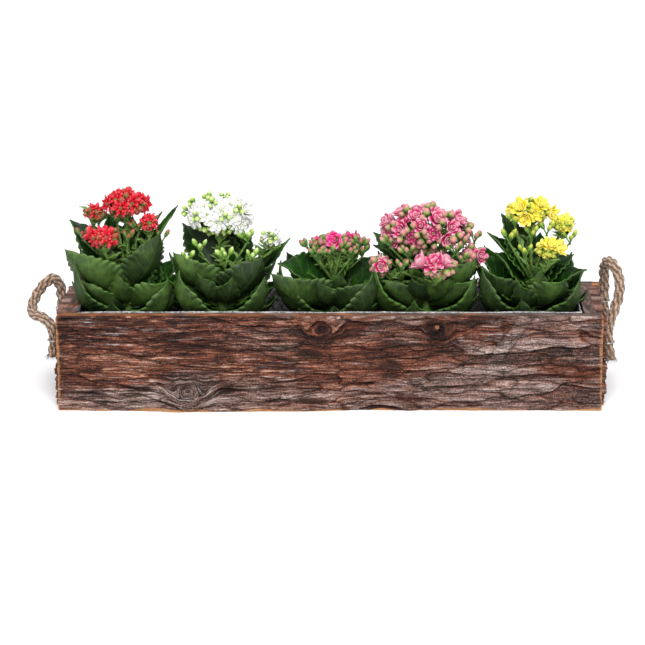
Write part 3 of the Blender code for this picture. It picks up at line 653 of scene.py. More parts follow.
def end_relief(seed, side):
    """The relief of an end slab. The left one is written along +Y, so it is read mirrored."""
    def relief(u, v):
        y = side * u
        wild = 0.0030 + 0.0022 * np.sin(math.pi * v / BOX_HEIGHT) + swell(y * 1.5, v, seed)
        nearest = np.minimum(np.abs(y + ROPE_LEG_Y), np.abs(y - ROPE_LEG_Y))
        broad = BARK_AT_ROPE + (wild - BARK_AT_ROPE) * faded(nearest - PARED_HALF_WIDTH, 0.006)
        bare = faded(nearest - 0.0085, 0.005)
        fine, tone, dark, flow, platy = fine_bark(u, v, int(seed) + 40, [])
        return broad, (fine * bare, tone, dark * bare, flow, platy), 0.45 + 0 * u
    return relief


# %% Build the slabs
half_x = BOX_LENGTH / 2
half_y = BOX_DEPTH / 2
end_length = 2 * (INNER_Y - GAP)
slabs = {
    "front_slab": make_slab("front_bark_slab", BOX_LENGTH, 470, 124, front_relief, (0, -half_y, 0), 0.0),
    "back_slab": make_slab("back_bark_slab", BOX_LENGTH + BACK_SLAB_OVERHANG, 300, 90, back_relief,
                           (BACK_SLAB_OVERHANG / 2, half_y, 0), math.pi),
    "right_slab": make_slab("right_bark_slab", end_length, 100, 90, end_relief(5.0, 1),
                            (half_x, 0, 0), math.pi / 2),
    "left_slab": make_slab("left_bark_slab", end_length, 100, 90, end_relief(12.0, -1),
                           (-half_x, 0, 0), -math.pi / 2),
}

# %% [markdown]
# Conifer bark that has dried outdoors is red-brown where a flake is fresh, and grey where rain
# and sun have bleached it. It has no gloss at all. Its fibres are a noise stretched 25 times along
# the grain, on a map that is frayed a little so that they don't run straight. Thin and wide crack
# networks break them up.

# %% Bark fibres and cracks
bark, tree, shader = new_material("weathered_conifer_bark", 0.75, extra={"Specular IOR Level": 0.3})
grain_map = uv_place(tree, "bark_map")
ragged = noise_over(tree, 110.0, 5.0, 0.65, output="Color")
centred = vector_of(tree, "SUBTRACT", ragged, (0.5, 0.5, 0.5))
drawn_out = vector_of(tree, "MULTIPLY", centred, (0.030, 0.0055, 0.0))
torn_map = vector_of(tree, "ADD", grain_map, drawn_out)
frayed_map = vector_of(tree, "MULTIPLY_ADD", drawn_out, (0.40, 0.40, 0.0), grain_map)


def grain_texture(tree, along, across, detail, distortion, source=grain_map):
    """Noise stretched along the grain, in waves per metre along and across it."""
    return noise_over(tree, 1.0, detail, 0.62, distortion, scaled(tree, source, (along, across, 1)))


def crack_network(tree, along, across, width):
    """Thin lines between torn cells, in cells per metre along and across the grain."""
    cells = add_node(tree, "TexVoronoi", {"feature": "DISTANCE_TO_EDGE", "voronoi_dimensions": "2D"}, {
        "Vector": scaled(tree, torn_map, (along, across, 1)), "Scale": 1.0})
    return spread(tree, cells.outputs["Distance"], width, 0.0)


wide_shaded_cracks = crack_network(tree, 12, 85, 0.045)
thin_shaded_cracks = crack_network(tree, 70, 300, 0.050)
fibre = grain_texture(tree, 24, 600, 8.0, 0.5, frayed_map)
strand = grain_texture(tree, 60, 2200, 3.0, 0.2)
patch = grain_texture(tree, 14, 55, 5.0, 0.7)
blotch = grain_texture(tree, 11, 70, 4.0, 0.9, frayed_map)
streak = grain_texture(tree, 13, 900, 4.0, 0.4)
torn = grain_texture(tree, 36, 230, 3.0, 0.3)
speckle = noise_over(tree, 620.0, 5.0, 0.75)

# %% [markdown]
# One number says how light each point is. Platy bark takes it more from its plate and stringy
# bark more from its fibres. A second, broad noise and the place along the slab choose between red
# and grey: the right half of this slab is greyer, its upper left more orange. Pale streaks on the
# crests are a painted highlight. Cracks, pits, knot hollows and the edges of loose pieces are painted
# nearly black, partly for the darker bark inside them and partly as painted shade. Worn edges show the wood.

# %% Bark colours
plate_tone = kept(tree, "bark_tone")
bark_height = kept(tree, "bark_height")
grain = sum_of(tree, -1.25, (fibre, 1.9), (strand, 1.5))
fibrous = sum_of(tree, -0.80, (plate_tone, 0.26), (speckle, 1.3), (grain, 1.0))
flaky = sum_of(tree, -0.61, (plate_tone, 0.50), (speckle, 1.4), (grain, 0.38))
how_flaky = add_node(tree, "Mix", {"data_type": "FLOAT"}, {
    0: kept(tree, "bark_platy"), 2: fibrous, 3: flaky}).outputs[0]
toned = sum_of(tree, -0.40, (blotch, 0.80), (how_flaky, 1.0))
red_brown = ramp(tree, toned, (0.18, "#1c0c07"), (0.38, "#52281b"), (0.54, "#7a4430"),
                 (0.72, "#a3644a"), (0.94, "#d0a68e"))
grey_brown = ramp(tree, toned, (0.18, "#231713"), (0.38, "#664c44"), (0.54, "#94786e"),
                  (0.72, "#b49c94"), (0.94, "#e0d4d0"))
warmth = sum_of(tree, -1.10, (bark_height, -0.22), (patch, 1.6), (plate_tone, 0.9),
                (kept(tree, "bark_warm"), 1.0))
skin = mixed(tree, spread(tree, warmth, 0.20, 0.80), grey_brown, red_brown)
# Painted highlight: pale near-white streaks along the grain, only on the crests.
crest_highlights = math_of(tree, "MULTIPLY", spread(tree, streak, 0.55, 0.60), spread(tree, torn, 0.50, 0.60))
crest_highlights = math_of(tree, "MULTIPLY", crest_highlights, spread(tree, bark_height, -0.6, 1.0))
# The thin and wide cracks and the kept crack darkness are painted nearly black: partly darker bark, partly
# painted shade.
for layer, share, code in ((crest_highlights, 0.60, "#efe6e2"), (thin_shaded_cracks, 0.62, "#24130e"),
                           (wide_shaded_cracks, 0.82, "#170b08"), (kept(tree, "bark_crack"), 0.72, "#170d09")):
    skin = mixed(tree, sum_of(tree, 0.0, (layer, share)), skin, code)
skin = mixed(tree, kept(tree, "bark_bare"), skin, "#b98559")
relief_height = sum_of(tree, fibre, (wide_shaded_cracks, -0.5), (speckle, 0.5), (strand, 0.6))
coat(tree, shader, skin, relief_height, 0.0022)

# %% [markdown]
# The sawn wood behind the bark is a soft orange-brown conifer, left rough from the saw. Its growth
# lines run with the slab, along X on the long slabs and along Y on the end slabs. The top edges
# have greyed in patches, the cut ends are a fresher orange, and the faces inside the box are painted
# near black as painted shade.

# %% Sawn wood material
sawn, tree, shader = new_material("rough_sawn_conifer", 0.8, extra={"Specular IOR Level": 0.25})
place = add_node(tree, "TexCoord").outputs["Object"]
along_x, along_y, _ = axes(tree, place)
from_middle = math_of(tree, "ABSOLUTE", along_x)
beyond_ends = spread(tree, from_middle, INNER_X + 0.0002, INNER_X + 0.0006)
beyond_sides = spread(tree, math_of(tree, "ABSOLUTE", along_y), INNER_Y + 0.0002, INNER_Y + 0.0006)
on_end_slab = math_of(tree, "SUBTRACT", beyond_ends, beyond_sides, clamp=True)
lines_map = add_node(tree, "Mix", {"data_type": "VECTOR"}, {
    0: on_end_slab, 4: scaled(tree, place, (60, 230, 420)), 5: scaled(tree, place, (230, 60, 420))})
lines = noise_over(tree, 1.0, 5.0, 0.6, place=lines_map.outputs[1])
orange = ramp(tree, lines, (0.30, "#3f2112"), (0.50, "#7d4a2c"), (0.70, "#a87048"))
greyed = ramp(tree, lines, (0.30, "#281d19"), (0.50, "#584640"), (0.70, "#84706a"))
end_grain = ramp(tree, lines, (0.30, "#6d4023"), (0.50, "#9c6238"), (0.70, "#bf8650"))
weathered = sum_of(tree, 0.0, (along_x, 0.9), (noise_over(tree, 30.0, 3.0), 1.0), (on_end_slab, 0.35))
wood = mixed(tree, spread(tree, weathered, 0.38, 0.62), orange, greyed)
wood = mixed(tree, spread(tree, from_middle, half_x - 0.0008, half_x - 0.0004), wood, end_grain)
# Painted shade: every face inside the box is painted near black.
wood = mixed(tree, math_of(tree, "MAXIMUM", beyond_ends, beyond_sides), "#1d1512", wood)
coat(tree, shader, wood, lines, 0.0008, 0.9)

for node, slab in slabs.items():
    paint(slab, bark, sawn)
    belongs(slab, "bark", node)

# %% [markdown]
# The base board already has the right shape in the part, so it stays and only gets a finish: the
# same sawn wood, with its grain along the box.

# %% Base board
paint(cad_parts["base_board"], sawn)

# %% [markdown]
# A stem, a stalk, a strand of rope and a wire are all one thing: a round section swept along a
# path. A curve object with a bevel does that by hand. Here the section is placed ring by ring,
# because each ring then keeps its own thickness and its own UV numbers, which the twist of the
# rope's fibres needs. The ends are closed with a point.


# %% Sweep helper
def through(points, per_span=6):
    """A smooth path through the points."""
    points = [Vector(point) for point in points]
    ends = [2 * points[0] - points[1]] + points + [2 * points[-1] - points[-2]]
    path = []
    for index in range(1, len(ends) - 2):
        a, b, c, d = ends[index - 1:index + 3]
        for step in range(per_span):
            t = step / per_span
            path.append(0.5 * (2 * b + (c - a) * t + (2 * a - 5 * b + 4 * c - d) * t * t
                               + (3 * b - a - 3 * c + d) * t ** 3))
    path.append(points[-1])
    return path


def frames_along(path):
    """Direction, side and up at each point of a path, turned as little as possible."""
    found = []
    side = None
    for index in range(len(path)):
        ahead = path[min(index + 1, len(path) - 1)] - path[max(index - 1, 0)]
        ahead.normalize()
        if side is None:
            side = ahead.orthogonal().normalized()
        side = (side - side.dot(ahead) * ahead).normalized()
        found.append((ahead, side, ahead.cross(side)))
    return found


def sweep(name, path, radii, sides):
    """A closed round tube along the path, with its length and turn kept as UV numbers."""
    places = []
    pairs = []
    walked = 0.0
    previous = path[0]
    for point, (ahead, side, up), radius in zip(path, frames_along(path), radii):
        walked += (point - previous).length
        previous = point
        for index in range(sides):
            angle = 2 * math.pi * index / sides
            places.append(point + (side * math.cos(angle) + up * math.sin(angle)) * radius)
            pairs.append((index / sides, walked))
    faces = []
    for ring in range(len(path) - 1):
        for index in range(sides):
            near = ring * sides
            after = (index + 1) % sides
            faces.append((near + index, near + after, near + sides + after, near + sides + index))
    first = frames_along(path[:2])[0][0]
    last = frames_along(path[-2:])[1][0]
    places.append(path[0] - first * radii[0] * 0.4)
    pairs.append((0.5, 0.0))
    places.append(path[-1] + last * radii[-1] * 0.4)
    pairs.append((0.5, walked))
    tail = len(places) - 2
    end = (len(path) - 1) * sides
    for index in range(sides):
        after = (index + 1) % sides
        faces.append((tail, after, index))
        faces.append((tail + 1, end + index, end + after))
    mesh = bpy.data.meshes.new(name)
    mesh.from_pydata(places, [], faces)
    store_uv(mesh, "sweep_map", pairs)
    made = bpy.data.objects.new(name, mesh)
    bpy.context.scene.collection.objects.link(made)
    mesh.shade_smooth()
    return made


# %% [markdown]
# The handles are three-strand jute rope. Each strand is swept along a helix about the rope's own
# route, and the three together leave the grooves of a real lay. Loose fibres stand off all round,
# more of them at the cut ends, where the strands have frayed. Both ends are fixed to the slab, so
# the rope is a handle and not a free cord. The routes were placed over the photo, and
# their run in depth is a guess.

# %% Rope route
ROPE_RADIUS = 0.0056
ROPE_LAY = 0.034
ROPE_X = BOX_LENGTH / 2 + BARK_AT_ROPE + ROPE_RADIUS + GAP
RIGHT_ROUTE = [
    (0.0030, -0.0325, 0.042), (0.0000, -0.0310, 0.060), (0.0005, -0.0300, 0.077),
    (0.0060, -0.0280, 0.093), (0.0110, -0.0230, 0.109), (0.0110, -0.0140, 0.124),
    (0.0060, -0.0010, 0.134), (0.0010, 0.0120, 0.134), (-0.0010, 0.0230, 0.123),
    (0.0000, 0.0290, 0.107), (0.0000, 0.0310, 0.090), (0.0010, 0.0315, 0.075),
    (0.0060, 0.0330, 0.061),
]
LEFT_ROUTE = [
    (0.0030, 0.0325, 0.060), (0.0000, 0.0310, 0.076), (0.0000, 0.0305, 0.092),
    (0.0015, 0.0280, 0.106), (0.0085, 0.0240, 0.113), (0.0180, 0.0170, 0.106),
    (0.0245, 0.0080, 0.096), (0.0260, -0.0030, 0.088), (0.0220, -0.0140, 0.084),
    (0.0130, -0.0230, 0.084), (0.0040, -0.0290, 0.078), (0.0000, -0.0310, 0.064),
    (0.0020, -0.0320, 0.045),
]

# %% Rope handles
STRAND_RADIUS = 0.0029
STRAND_OFFSET = 0.0027
FIBRE_COUNT = 420
FRAYED_SHARE = 0.30
FIBRE_RADII = [0.00016, 0.00014, 0.00007]


def outward(frame_here, angle):
    """The way out from a path at an angle about it."""
    ahead, across, up = frame_here
    return across * math.cos(angle) + up * math.sin(angle)


def rope_strand(path, around, strand):
    """One strand, wound about the route and uneven in thickness."""
    walked = 0.0
    helix = []
    for index, point in enumerate(path):
        if index:
            walked += (point - path[index - 1]).length
        angle = 2 * math.pi * (walked / ROPE_LAY + strand / 3)
        helix.append(point + outward(around[index], angle) * STRAND_OFFSET)
    radii = [STRAND_RADIUS * (1 + 0.07 * math.sin(index * 0.9 + strand * 2)) for index in range(len(path))]
    return sweep("strand", helix, radii, 12)


def loose_fibre(path, around, draw):
    """One fibre that stands off the rope, or off one of its cut ends."""
    frayed = draw.random() < FRAYED_SHARE
    index = draw.choice([1, len(path) - 2]) if frayed else draw.randrange(2, len(path) - 2)
    ahead = around[index][0]
    out = outward(around[index], draw.uniform(0, 2 * math.pi))
    if frayed:
        lead = ahead if index > 1 else -ahead
        reach = lead * draw.uniform(0.003, 0.007) + out * draw.uniform(0.0, 0.004)
    else:
        reach = ahead * draw.uniform(-0.005, 0.005) + out * draw.uniform(0.001, 0.0032)
    start = path[index] + out * ROPE_RADIUS * 0.85
    drift = Vector([draw.uniform(-0.001, 0.001) for _ in range(3)])
    return sweep("fibre", [start, start + reach * 0.5 + drift, start + reach], FIBRE_RADII, 3)


def make_rope(side, sign, route):
    """One handle: three strands and their loose fibres."""
    draw = random.Random(sign + 5)
    path = through([(sign * (ROPE_X + x), y, z) for x, y, z in route], 12)
    around = frames_along(path)
    pieces = [rope_strand(path, around, strand) for strand in range(3)]
    pieces += [loose_fibre(path, around, draw) for _ in range(FIBRE_COUNT)]
    length = sum((b - a).length for a, b in zip(path, path[1:]))
    print(f"{side} rope: {length * 1000:.0f} mm long")
    return joined(f"jute_rope_{side}", pieces)


ropes = {
    "rope_handle_right": make_rope("right", 1, RIGHT_ROUTE),
    "rope_handle_left": make_rope("left", -1, LEFT_ROUTE),
}

# %% [markdown]
# Jute is a dull straw-brown fibre with no shine but a soft sheen. The yarns in a strand run
# slantwise, about 4 mm apart, so a wave of the turn and the length draws them, and a fine noise
# varies their colour.

# %% Jute material
jute, tree, shader = new_material("twisted_jute_rope", 0.95, extra={
    "Specular IOR Level": 0.1, "Sheen Weight": 0.25})
turns_round, turns_along, _ = axes(tree, scaled(tree, uv_place(tree, "sweep_map"), (3.0, 160.0, 1.0)))
slant = math_of(tree, "ADD", turns_round, turns_along)
wave = math_of(tree, "SINE", math_of(tree, "MULTIPLY", slant, 2 * math.pi))
yarn = sum_of(tree, noise_over(tree, 420.0, 4.0, 0.7), (wave, 0.16))
yarn_colour = ramp(tree, yarn, (0.22, "#3f2e22"), (0.40, "#71584a"), (0.56, "#98806c"), (0.78, "#c2ac98"))
coat(tree, shader, yarn_colour, yarn, 0.0012, 0.7)
for node, rope in ropes.items():
    paint(rope, jute)
    belongs(rope, "jute_rope", node)

# %% [markdown]
# Each leg of a rope is held by a wire staple bent over it. The part's staples have four-sided
# wire, so finer ones are swept over the same bend.

# %% Staples
WIRE_RADIUS = 0.0006
STAPLE_RADIUS = ROPE_RADIUS + WIRE_RADIUS + 0.0005
STAPLE_FOOT_X = BOX_LENGTH / 2 + BARK_AT_ROPE + GAP
STAPLE_HEIGHTS = {"right": (0.060, 0.088), "left": (0.062, 0.080)}
steel = mottled("bright_steel_wire", 0.35, [(0.35, "#8d8a86"), (0.65, "#c9c8c6")], 900.0,
                extra={"Metallic": 1.0})


def staple_bend(sign, y, height):
    """The wire's path: from the slab, half round the rope, and back to the slab."""
    bend = [(sign * STAPLE_FOOT_X, y - STAPLE_RADIUS, height)]
    for index in range(13):
        angle = -math.pi / 2 + math.pi * index / 12
        bend.append((sign * (ROPE_X + STAPLE_RADIUS * math.cos(angle)),
                     y + STAPLE_RADIUS * math.sin(angle), height))
    bend.append((sign * STAPLE_FOOT_X, y + STAPLE_RADIUS, height))
    return [Vector(point) for point in bend]


for side, sign in (("right", 1), ("left", -1)):
    for end, y, height in zip(("front", "back"), (-ROPE_LEG_Y, ROPE_LEG_Y), STAPLE_HEIGHTS[side]):
        bend = staple_bend(sign, y, height)
        staple = sweep(f"wire_staple_{side}_{end}", bend, [WIRE_RADIUS] * len(bend), 8)
        paint(staple, steel)
        belongs(staple, "staple_wire", f"rope_staple_{side}_{end}")

# %% [markdown]
# The box is lined with a clear polythene film, pushed down by the pots. It would be folded from a
# flat sheet. Here a cube is opened at its top and subdivided, which gives the same walls at once.

# %% Film liner
BOARD_THICKNESS = 0.010
FILM_RISE = 0.0012
film_floor = BOARD_THICKNESS + GAP
film_top = BOX_HEIGHT + FILM_RISE
half_film_x = INNER_X - 2 * GAP
half_film_y = INNER_Y - 2 * GAP
bpy.ops.object.select_all(action="DESELECT")
bpy.ops.mesh.primitive_cube_add(size=1.0, location=(0, 0, (film_floor + film_top) / 2))
film = bpy.context.object
film.name = "polythene_film_liner"
film.scale = (2 * half_film_x, 2 * half_film_y, film_top - film_floor)
bpy.ops.object.transform_apply(location=True, scale=True)
bpy.ops.object.mode_set(mode="EDIT")
bpy.ops.mesh.select_all(action="SELECT")
bpy.ops.mesh.subdivide(number_cuts=40)
bpy.ops.mesh.select_mode(type="FACE")
bpy.ops.mesh.select_all(action="DESELECT")
bpy.ops.object.mode_set(mode="OBJECT")
for face in film.data.polygons:
    face.select = face.center.z > film_top - 0.0005 and abs(face.normal.z) > 0.9
bpy.ops.object.mode_set(mode="EDIT")
bpy.ops.mesh.delete(type="FACE")
bpy.ops.mesh.select_mode(type="VERT")
bpy.ops.object.mode_set(mode="OBJECT")

# %% [markdown]
# Loose film creases more the higher it stands, and at the right end the photo shows it bunched.
# Noise pushes the walls inward by up to a millimetre, and by pleats of a few millimetres at the
# right. Real film is about 0.1 mm thick; 0.3 mm is used so that the render shows it.

# %% Film creases
CREASE_FOOT = 0.05
FILM_THICKNESS = 0.0003
spots = coordinates(film.data)
film_x, film_y, film_z = (spots[:, axis].copy() for axis in range(3))
up_share = faded(film_z - CREASE_FOOT, film_top - CREASE_FOOT)
crease = grain_noise((film_x + film_y) * 70.0, film_z * 18.0, 70)
crease += 0.6 * grain_noise((film_x - film_y) * 160.0, film_z * 40.0, 71)
pleats = np.abs(grain_noise(film_y * 85.0, film_z * 14.0, 73))
at_right = film_x > half_film_x - 1e-5
inward = (0.0004 + 0.0006 * crease) * up_share + at_right * (0.0006 + 0.0040 * pleats) * up_share
for axis, half_size in ((0, half_film_x), (1, half_film_y)):
    at_wall = np.abs(spots[:, axis]) > half_size - 1e-5
    spots[:, axis] -= np.sign(spots[:, axis]) * np.maximum(inward, 0) * at_wall
rim_wave = grain_noise(spots[:, 0] * 35.0 + spots[:, 1] * 50.0, film_z * 0 + 0.5, 72)
spots[:, 2] += (film_z > film_top - 1e-5) * 0.0008 * rim_wave
place_vertices(film.data, spots)
store(film.data, "film_milk", up_share ** 12 + 2.2 * at_right * up_share)
thicken(film, FILM_THICKNESS)
film.data.shade_smooth()

# %% [markdown]
# Polythene is a clear soft plastic, IOR 1.51, that turns milky where it is creased. Full
# refraction would only make noise in so thin a wall, so the film is partly see-through by its
# alpha instead: a thin veil everywhere, and more at the upper edge and in the pleats at the right.
# Its fine creases are a bump about 6 mm apart.

# %% Film material
polythene, tree, shader = new_material("clear_polythene_film", 0.22, 1.51)
creases = noise_over(tree, 160.0, 4.0, distortion=1.2)
veil = spread(tree, creases, 0.35, 0.7, 0.06, 0.20)
milky = math_of(tree, "MULTIPLY_ADD", kept(tree, "film_milk"), 0.38, veil, clamp=True)
tree.links.new(milky, shader.inputs["Alpha"])
coat(tree, shader, ramp(tree, creases, (0.40, "#86878a"), (0.62, "#d4d5d9")), creases, 0.0008, 0.4)
paint(film, polythene)
belongs(film, "film", "film_liner")

# %% [markdown]
# The nursery pots are thin dark plastic, turned shapes with a rolled rim. The profile is drawn
# once, spun in edit mode about the upright axis, and its doubles merged. The soil is made the same
# way, then its top is roughened with noise, and white grains of perlite are scattered on it.

# %% Pot and soil shapes
POT_HEIGHT = 0.080
POT_TOP_RADIUS = 0.045
POT_FOOT_RADIUS = 0.033
POT_WALL = 0.001
SOIL_DROP = 0.009
SOIL_INSET = 0.0032
POT_FOOT = BOARD_THICKNESS + 2 * GAP + 0.0005
SOIL_TOP = POT_FOOT + POT_HEIGHT - SOIL_DROP
POT_X = {1: -0.210, 2: -0.112, 3: 0.003, 4: 0.098, 5: 0.207}


def spun(name, profile, sides):
    """A profile of (radius, height) points spun about the upright axis, as a closed shape."""
    mesh = bpy.data.meshes.new(name)
    mesh.from_pydata([(radius, 0, height) for radius, height in profile],
                     [(index, index + 1) for index in range(len(profile) - 1)], [])
    made = bpy.data.objects.new(name, mesh)
    bpy.context.scene.collection.objects.link(made)
    select_only(made)
    bpy.ops.object.mode_set(mode="EDIT")
    bpy.ops.mesh.select_all(action="SELECT")
    bpy.ops.mesh.spin(steps=sides, angle=2 * math.pi, center=(0, 0, 0), axis=(0, 0, 1))
    bpy.ops.mesh.select_all(action="SELECT")
    bpy.ops.mesh.remove_doubles(threshold=0.00002)
    bpy.ops.mesh.normals_make_consistent(inside=False)
    bpy.ops.object.mode_set(mode="OBJECT")
    return made


pot_profile = [
    (0.0, POT_WALL), (POT_FOOT_RADIUS - 0.003, POT_WALL), (POT_FOOT_RADIUS - POT_WALL, 0.003),
    (POT_TOP_RADIUS - 0.0022, POT_HEIGHT - 0.008), (POT_TOP_RADIUS - 0.0012, POT_HEIGHT - 0.0006),
    (POT_TOP_RADIUS - 0.0005, POT_HEIGHT), (POT_TOP_RADIUS, POT_HEIGHT - 0.0008),
    (POT_TOP_RADIUS, POT_HEIGHT - 0.0065), (POT_TOP_RADIUS - 0.0012, POT_HEIGHT - 0.0080),
    (POT_FOOT_RADIUS, 0.002), (POT_FOOT_RADIUS - 0.002, 0.0), (0.0, 0.0),
]
pot_blank = spun("pot_blank", pot_profile, 64)
pot_blank.data.shade_smooth()
soil_height = SOIL_TOP - POT_FOOT
soil_side = POT_FOOT_RADIUS + (POT_TOP_RADIUS - POT_FOOT_RADIUS) / POT_HEIGHT * soil_height - SOIL_INSET
soil_profile = [(soil_side * index / 14, soil_height + 0.001) for index in range(15)]
soil_profile += [(POT_FOOT_RADIUS - SOIL_INSET, 0.0035), (0.0, 0.0035)]
soil_blank = spun("soil_blank", soil_profile, 72)

# %% [markdown]
# Perlite is a puffed volcanic glass, sold as white grains of 2 to 4 mm. One low icosphere is
# squashed to an odd shape and copied. A few pale roots lie on the peat and curl over its edge, as
# on any plant that has filled its pot.

# %% Perlite and roots
GRAINS_PER_POT = 26
ROOT_START = 0.034
ROOT_RADIUS = 0.0005
ROOT_CURL = [(0.0, 0.0, -0.1), (0.25, 0.1, 0.55), (0.7, 0.35, 0.95), (1.0, 0.8, 0.65), (0.85, 1.15, 0.0)]

bpy.ops.object.select_all(action="DESELECT")
bpy.ops.mesh.primitive_ico_sphere_add(subdivisions=1, radius=1.0)
grain_blank = bpy.context.object
draw = random.Random(3)
for vertex in grain_blank.data.vertices:
    vertex.co *= draw.uniform(0.75, 1.2)


def level_way(angle, up=0.0):
    """The way at an angle about the upright axis, with some upward share."""
    return Vector((math.cos(angle), math.sin(angle), up))


def pale_root(x, angle, size):
    """A root that leaves the peat by the pot's rim, curls over and goes back."""
    way = level_way(angle)
    side = Vector((-way.y, way.x, 0))
    start = Vector((x, 0, SOIL_TOP)) + way * ROOT_START
    path = through([start + (way * a + side * b + Vector((0, 0, c))) * size for a, b, c in ROOT_CURL], 5)
    return sweep("root", path, [ROOT_RADIUS] * len(path), 5)


def perlite_grain(x, draw):
    """One grain, somewhere on the peat of the pot that stands at x."""
    angle = draw.uniform(0, 2 * math.pi)
    far = soil_side * math.sqrt(draw.uniform(0.05, 0.92))
    size = draw.uniform(0.0008, 0.0019)
    spot = (x + far * math.cos(angle), far * math.sin(angle), SOIL_TOP + 0.0022 + 0.3 * size)
    turn = Matrix.Rotation(draw.uniform(0, 6), 4, "Z")
    shape = Matrix.Diagonal((size, size * 0.8, size * 0.7, 1))
    return copy_of(grain_blank, Matrix.Translation(spot) @ (turn @ shape))


# %% Pots with their soil
def roughen_soil(soil, x, number):
    """Raises crumbs and a low dome on the top of the peat."""
    spots = coordinates(soil.data)
    top = spots[:, 2] > SOIL_TOP - 0.001
    lumps = 0.0022 * grain_noise(spots[:, 0] * 150, spots[:, 1] * 150, 80 + number)
    lumps += 0.0012 * grain_noise(spots[:, 0] * 420, spots[:, 1] * 420, 90 + number)
    reach = np.hypot(spots[:, 0] - x, spots[:, 1]) / soil_side
    spots[:, 2] += top * (lumps + 0.0015 * (1 - reach))
    place_vertices(soil.data, spots)


potted = []
for number, x in POT_X.items():
    draw = random.Random(200 + number)
    foot = Matrix.Translation((x, 0, POT_FOOT))
    pot = joined(f"nursery_pot_{number}", [copy_of(pot_blank, foot)])
    soil = joined(f"peat_soil_{number}", [copy_of(soil_blank, foot)])
    roughen_soil(soil, x, number)
    grains = joined(f"perlite_grains_{number}", [perlite_grain(x, draw) for _ in range(GRAINS_PER_POT)])
    turns = [-0.25, 0.45] + [draw.uniform(0.8, 5.4) for _ in range(4)]
    roots = joined(f"pale_roots_{number}", [
        pale_root(x, turn, draw.uniform(0.008, 0.012)) for turn in turns])
    potted.append((number, pot, soil, grains, roots))

# %% [markdown]
# The pot is polypropylene, IOR 1.49, moulded with a satin skin and dusty from the nursery. Peat
# is nearly black when damp and drinks all light. Perlite is white and chalky.

# %% Pot, peat, perlite and root materials
pot_plastic = mottled("moulded_polypropylene", 0.5, [(0.40, "#1b1918"), (0.58, "#2a2624"), (0.75, "#4a4038")],
                      60.0, 5.0, 0.65, ior=1.49)
peat = mottled("damp_peat", 0.95, [(0.38, "#150e0a"), (0.55, "#33231a"), (0.72, "#6b5140")],
               500.0, 5.0, 0.75, extra={"Specular IOR Level": 0.2}, depth=0.002)
perlite = mottled("expanded_perlite", 0.9, [(0.35, "#c9c3b8"), (0.60, "#f1eee8")], 1200.0)
root_skin = mottled("pale_root_skin", 0.7, [(0.35, "#a8967a"), (0.65, "#e2d8c6")], 300.0, 3.0, ior=1.45)

for number, pot, soil, grains, roots in potted:
    for piece, material, slot, nodes in (
            (roots, root_skin, "soil", ()), (pot, pot_plastic, "pot_plastic", (f"pot_{number}",)),
            (soil, peat, "soil", (f"soil_{number}",)), (grains, perlite, "soil", ())):
        paint(piece, material)
        belongs(piece, slot, *nodes)


# %% [markdown]
# The plan of the five plants is the part's own. Places are in millimetres from a plant's upright
# axis, and heights are from the floor. A leaf is its tip, the way its upper face looks, its width
# and its arch. A head is its centre, its radii, how many florets it has, their size and depth. A
# spray of buds is the place they spring from and their number.

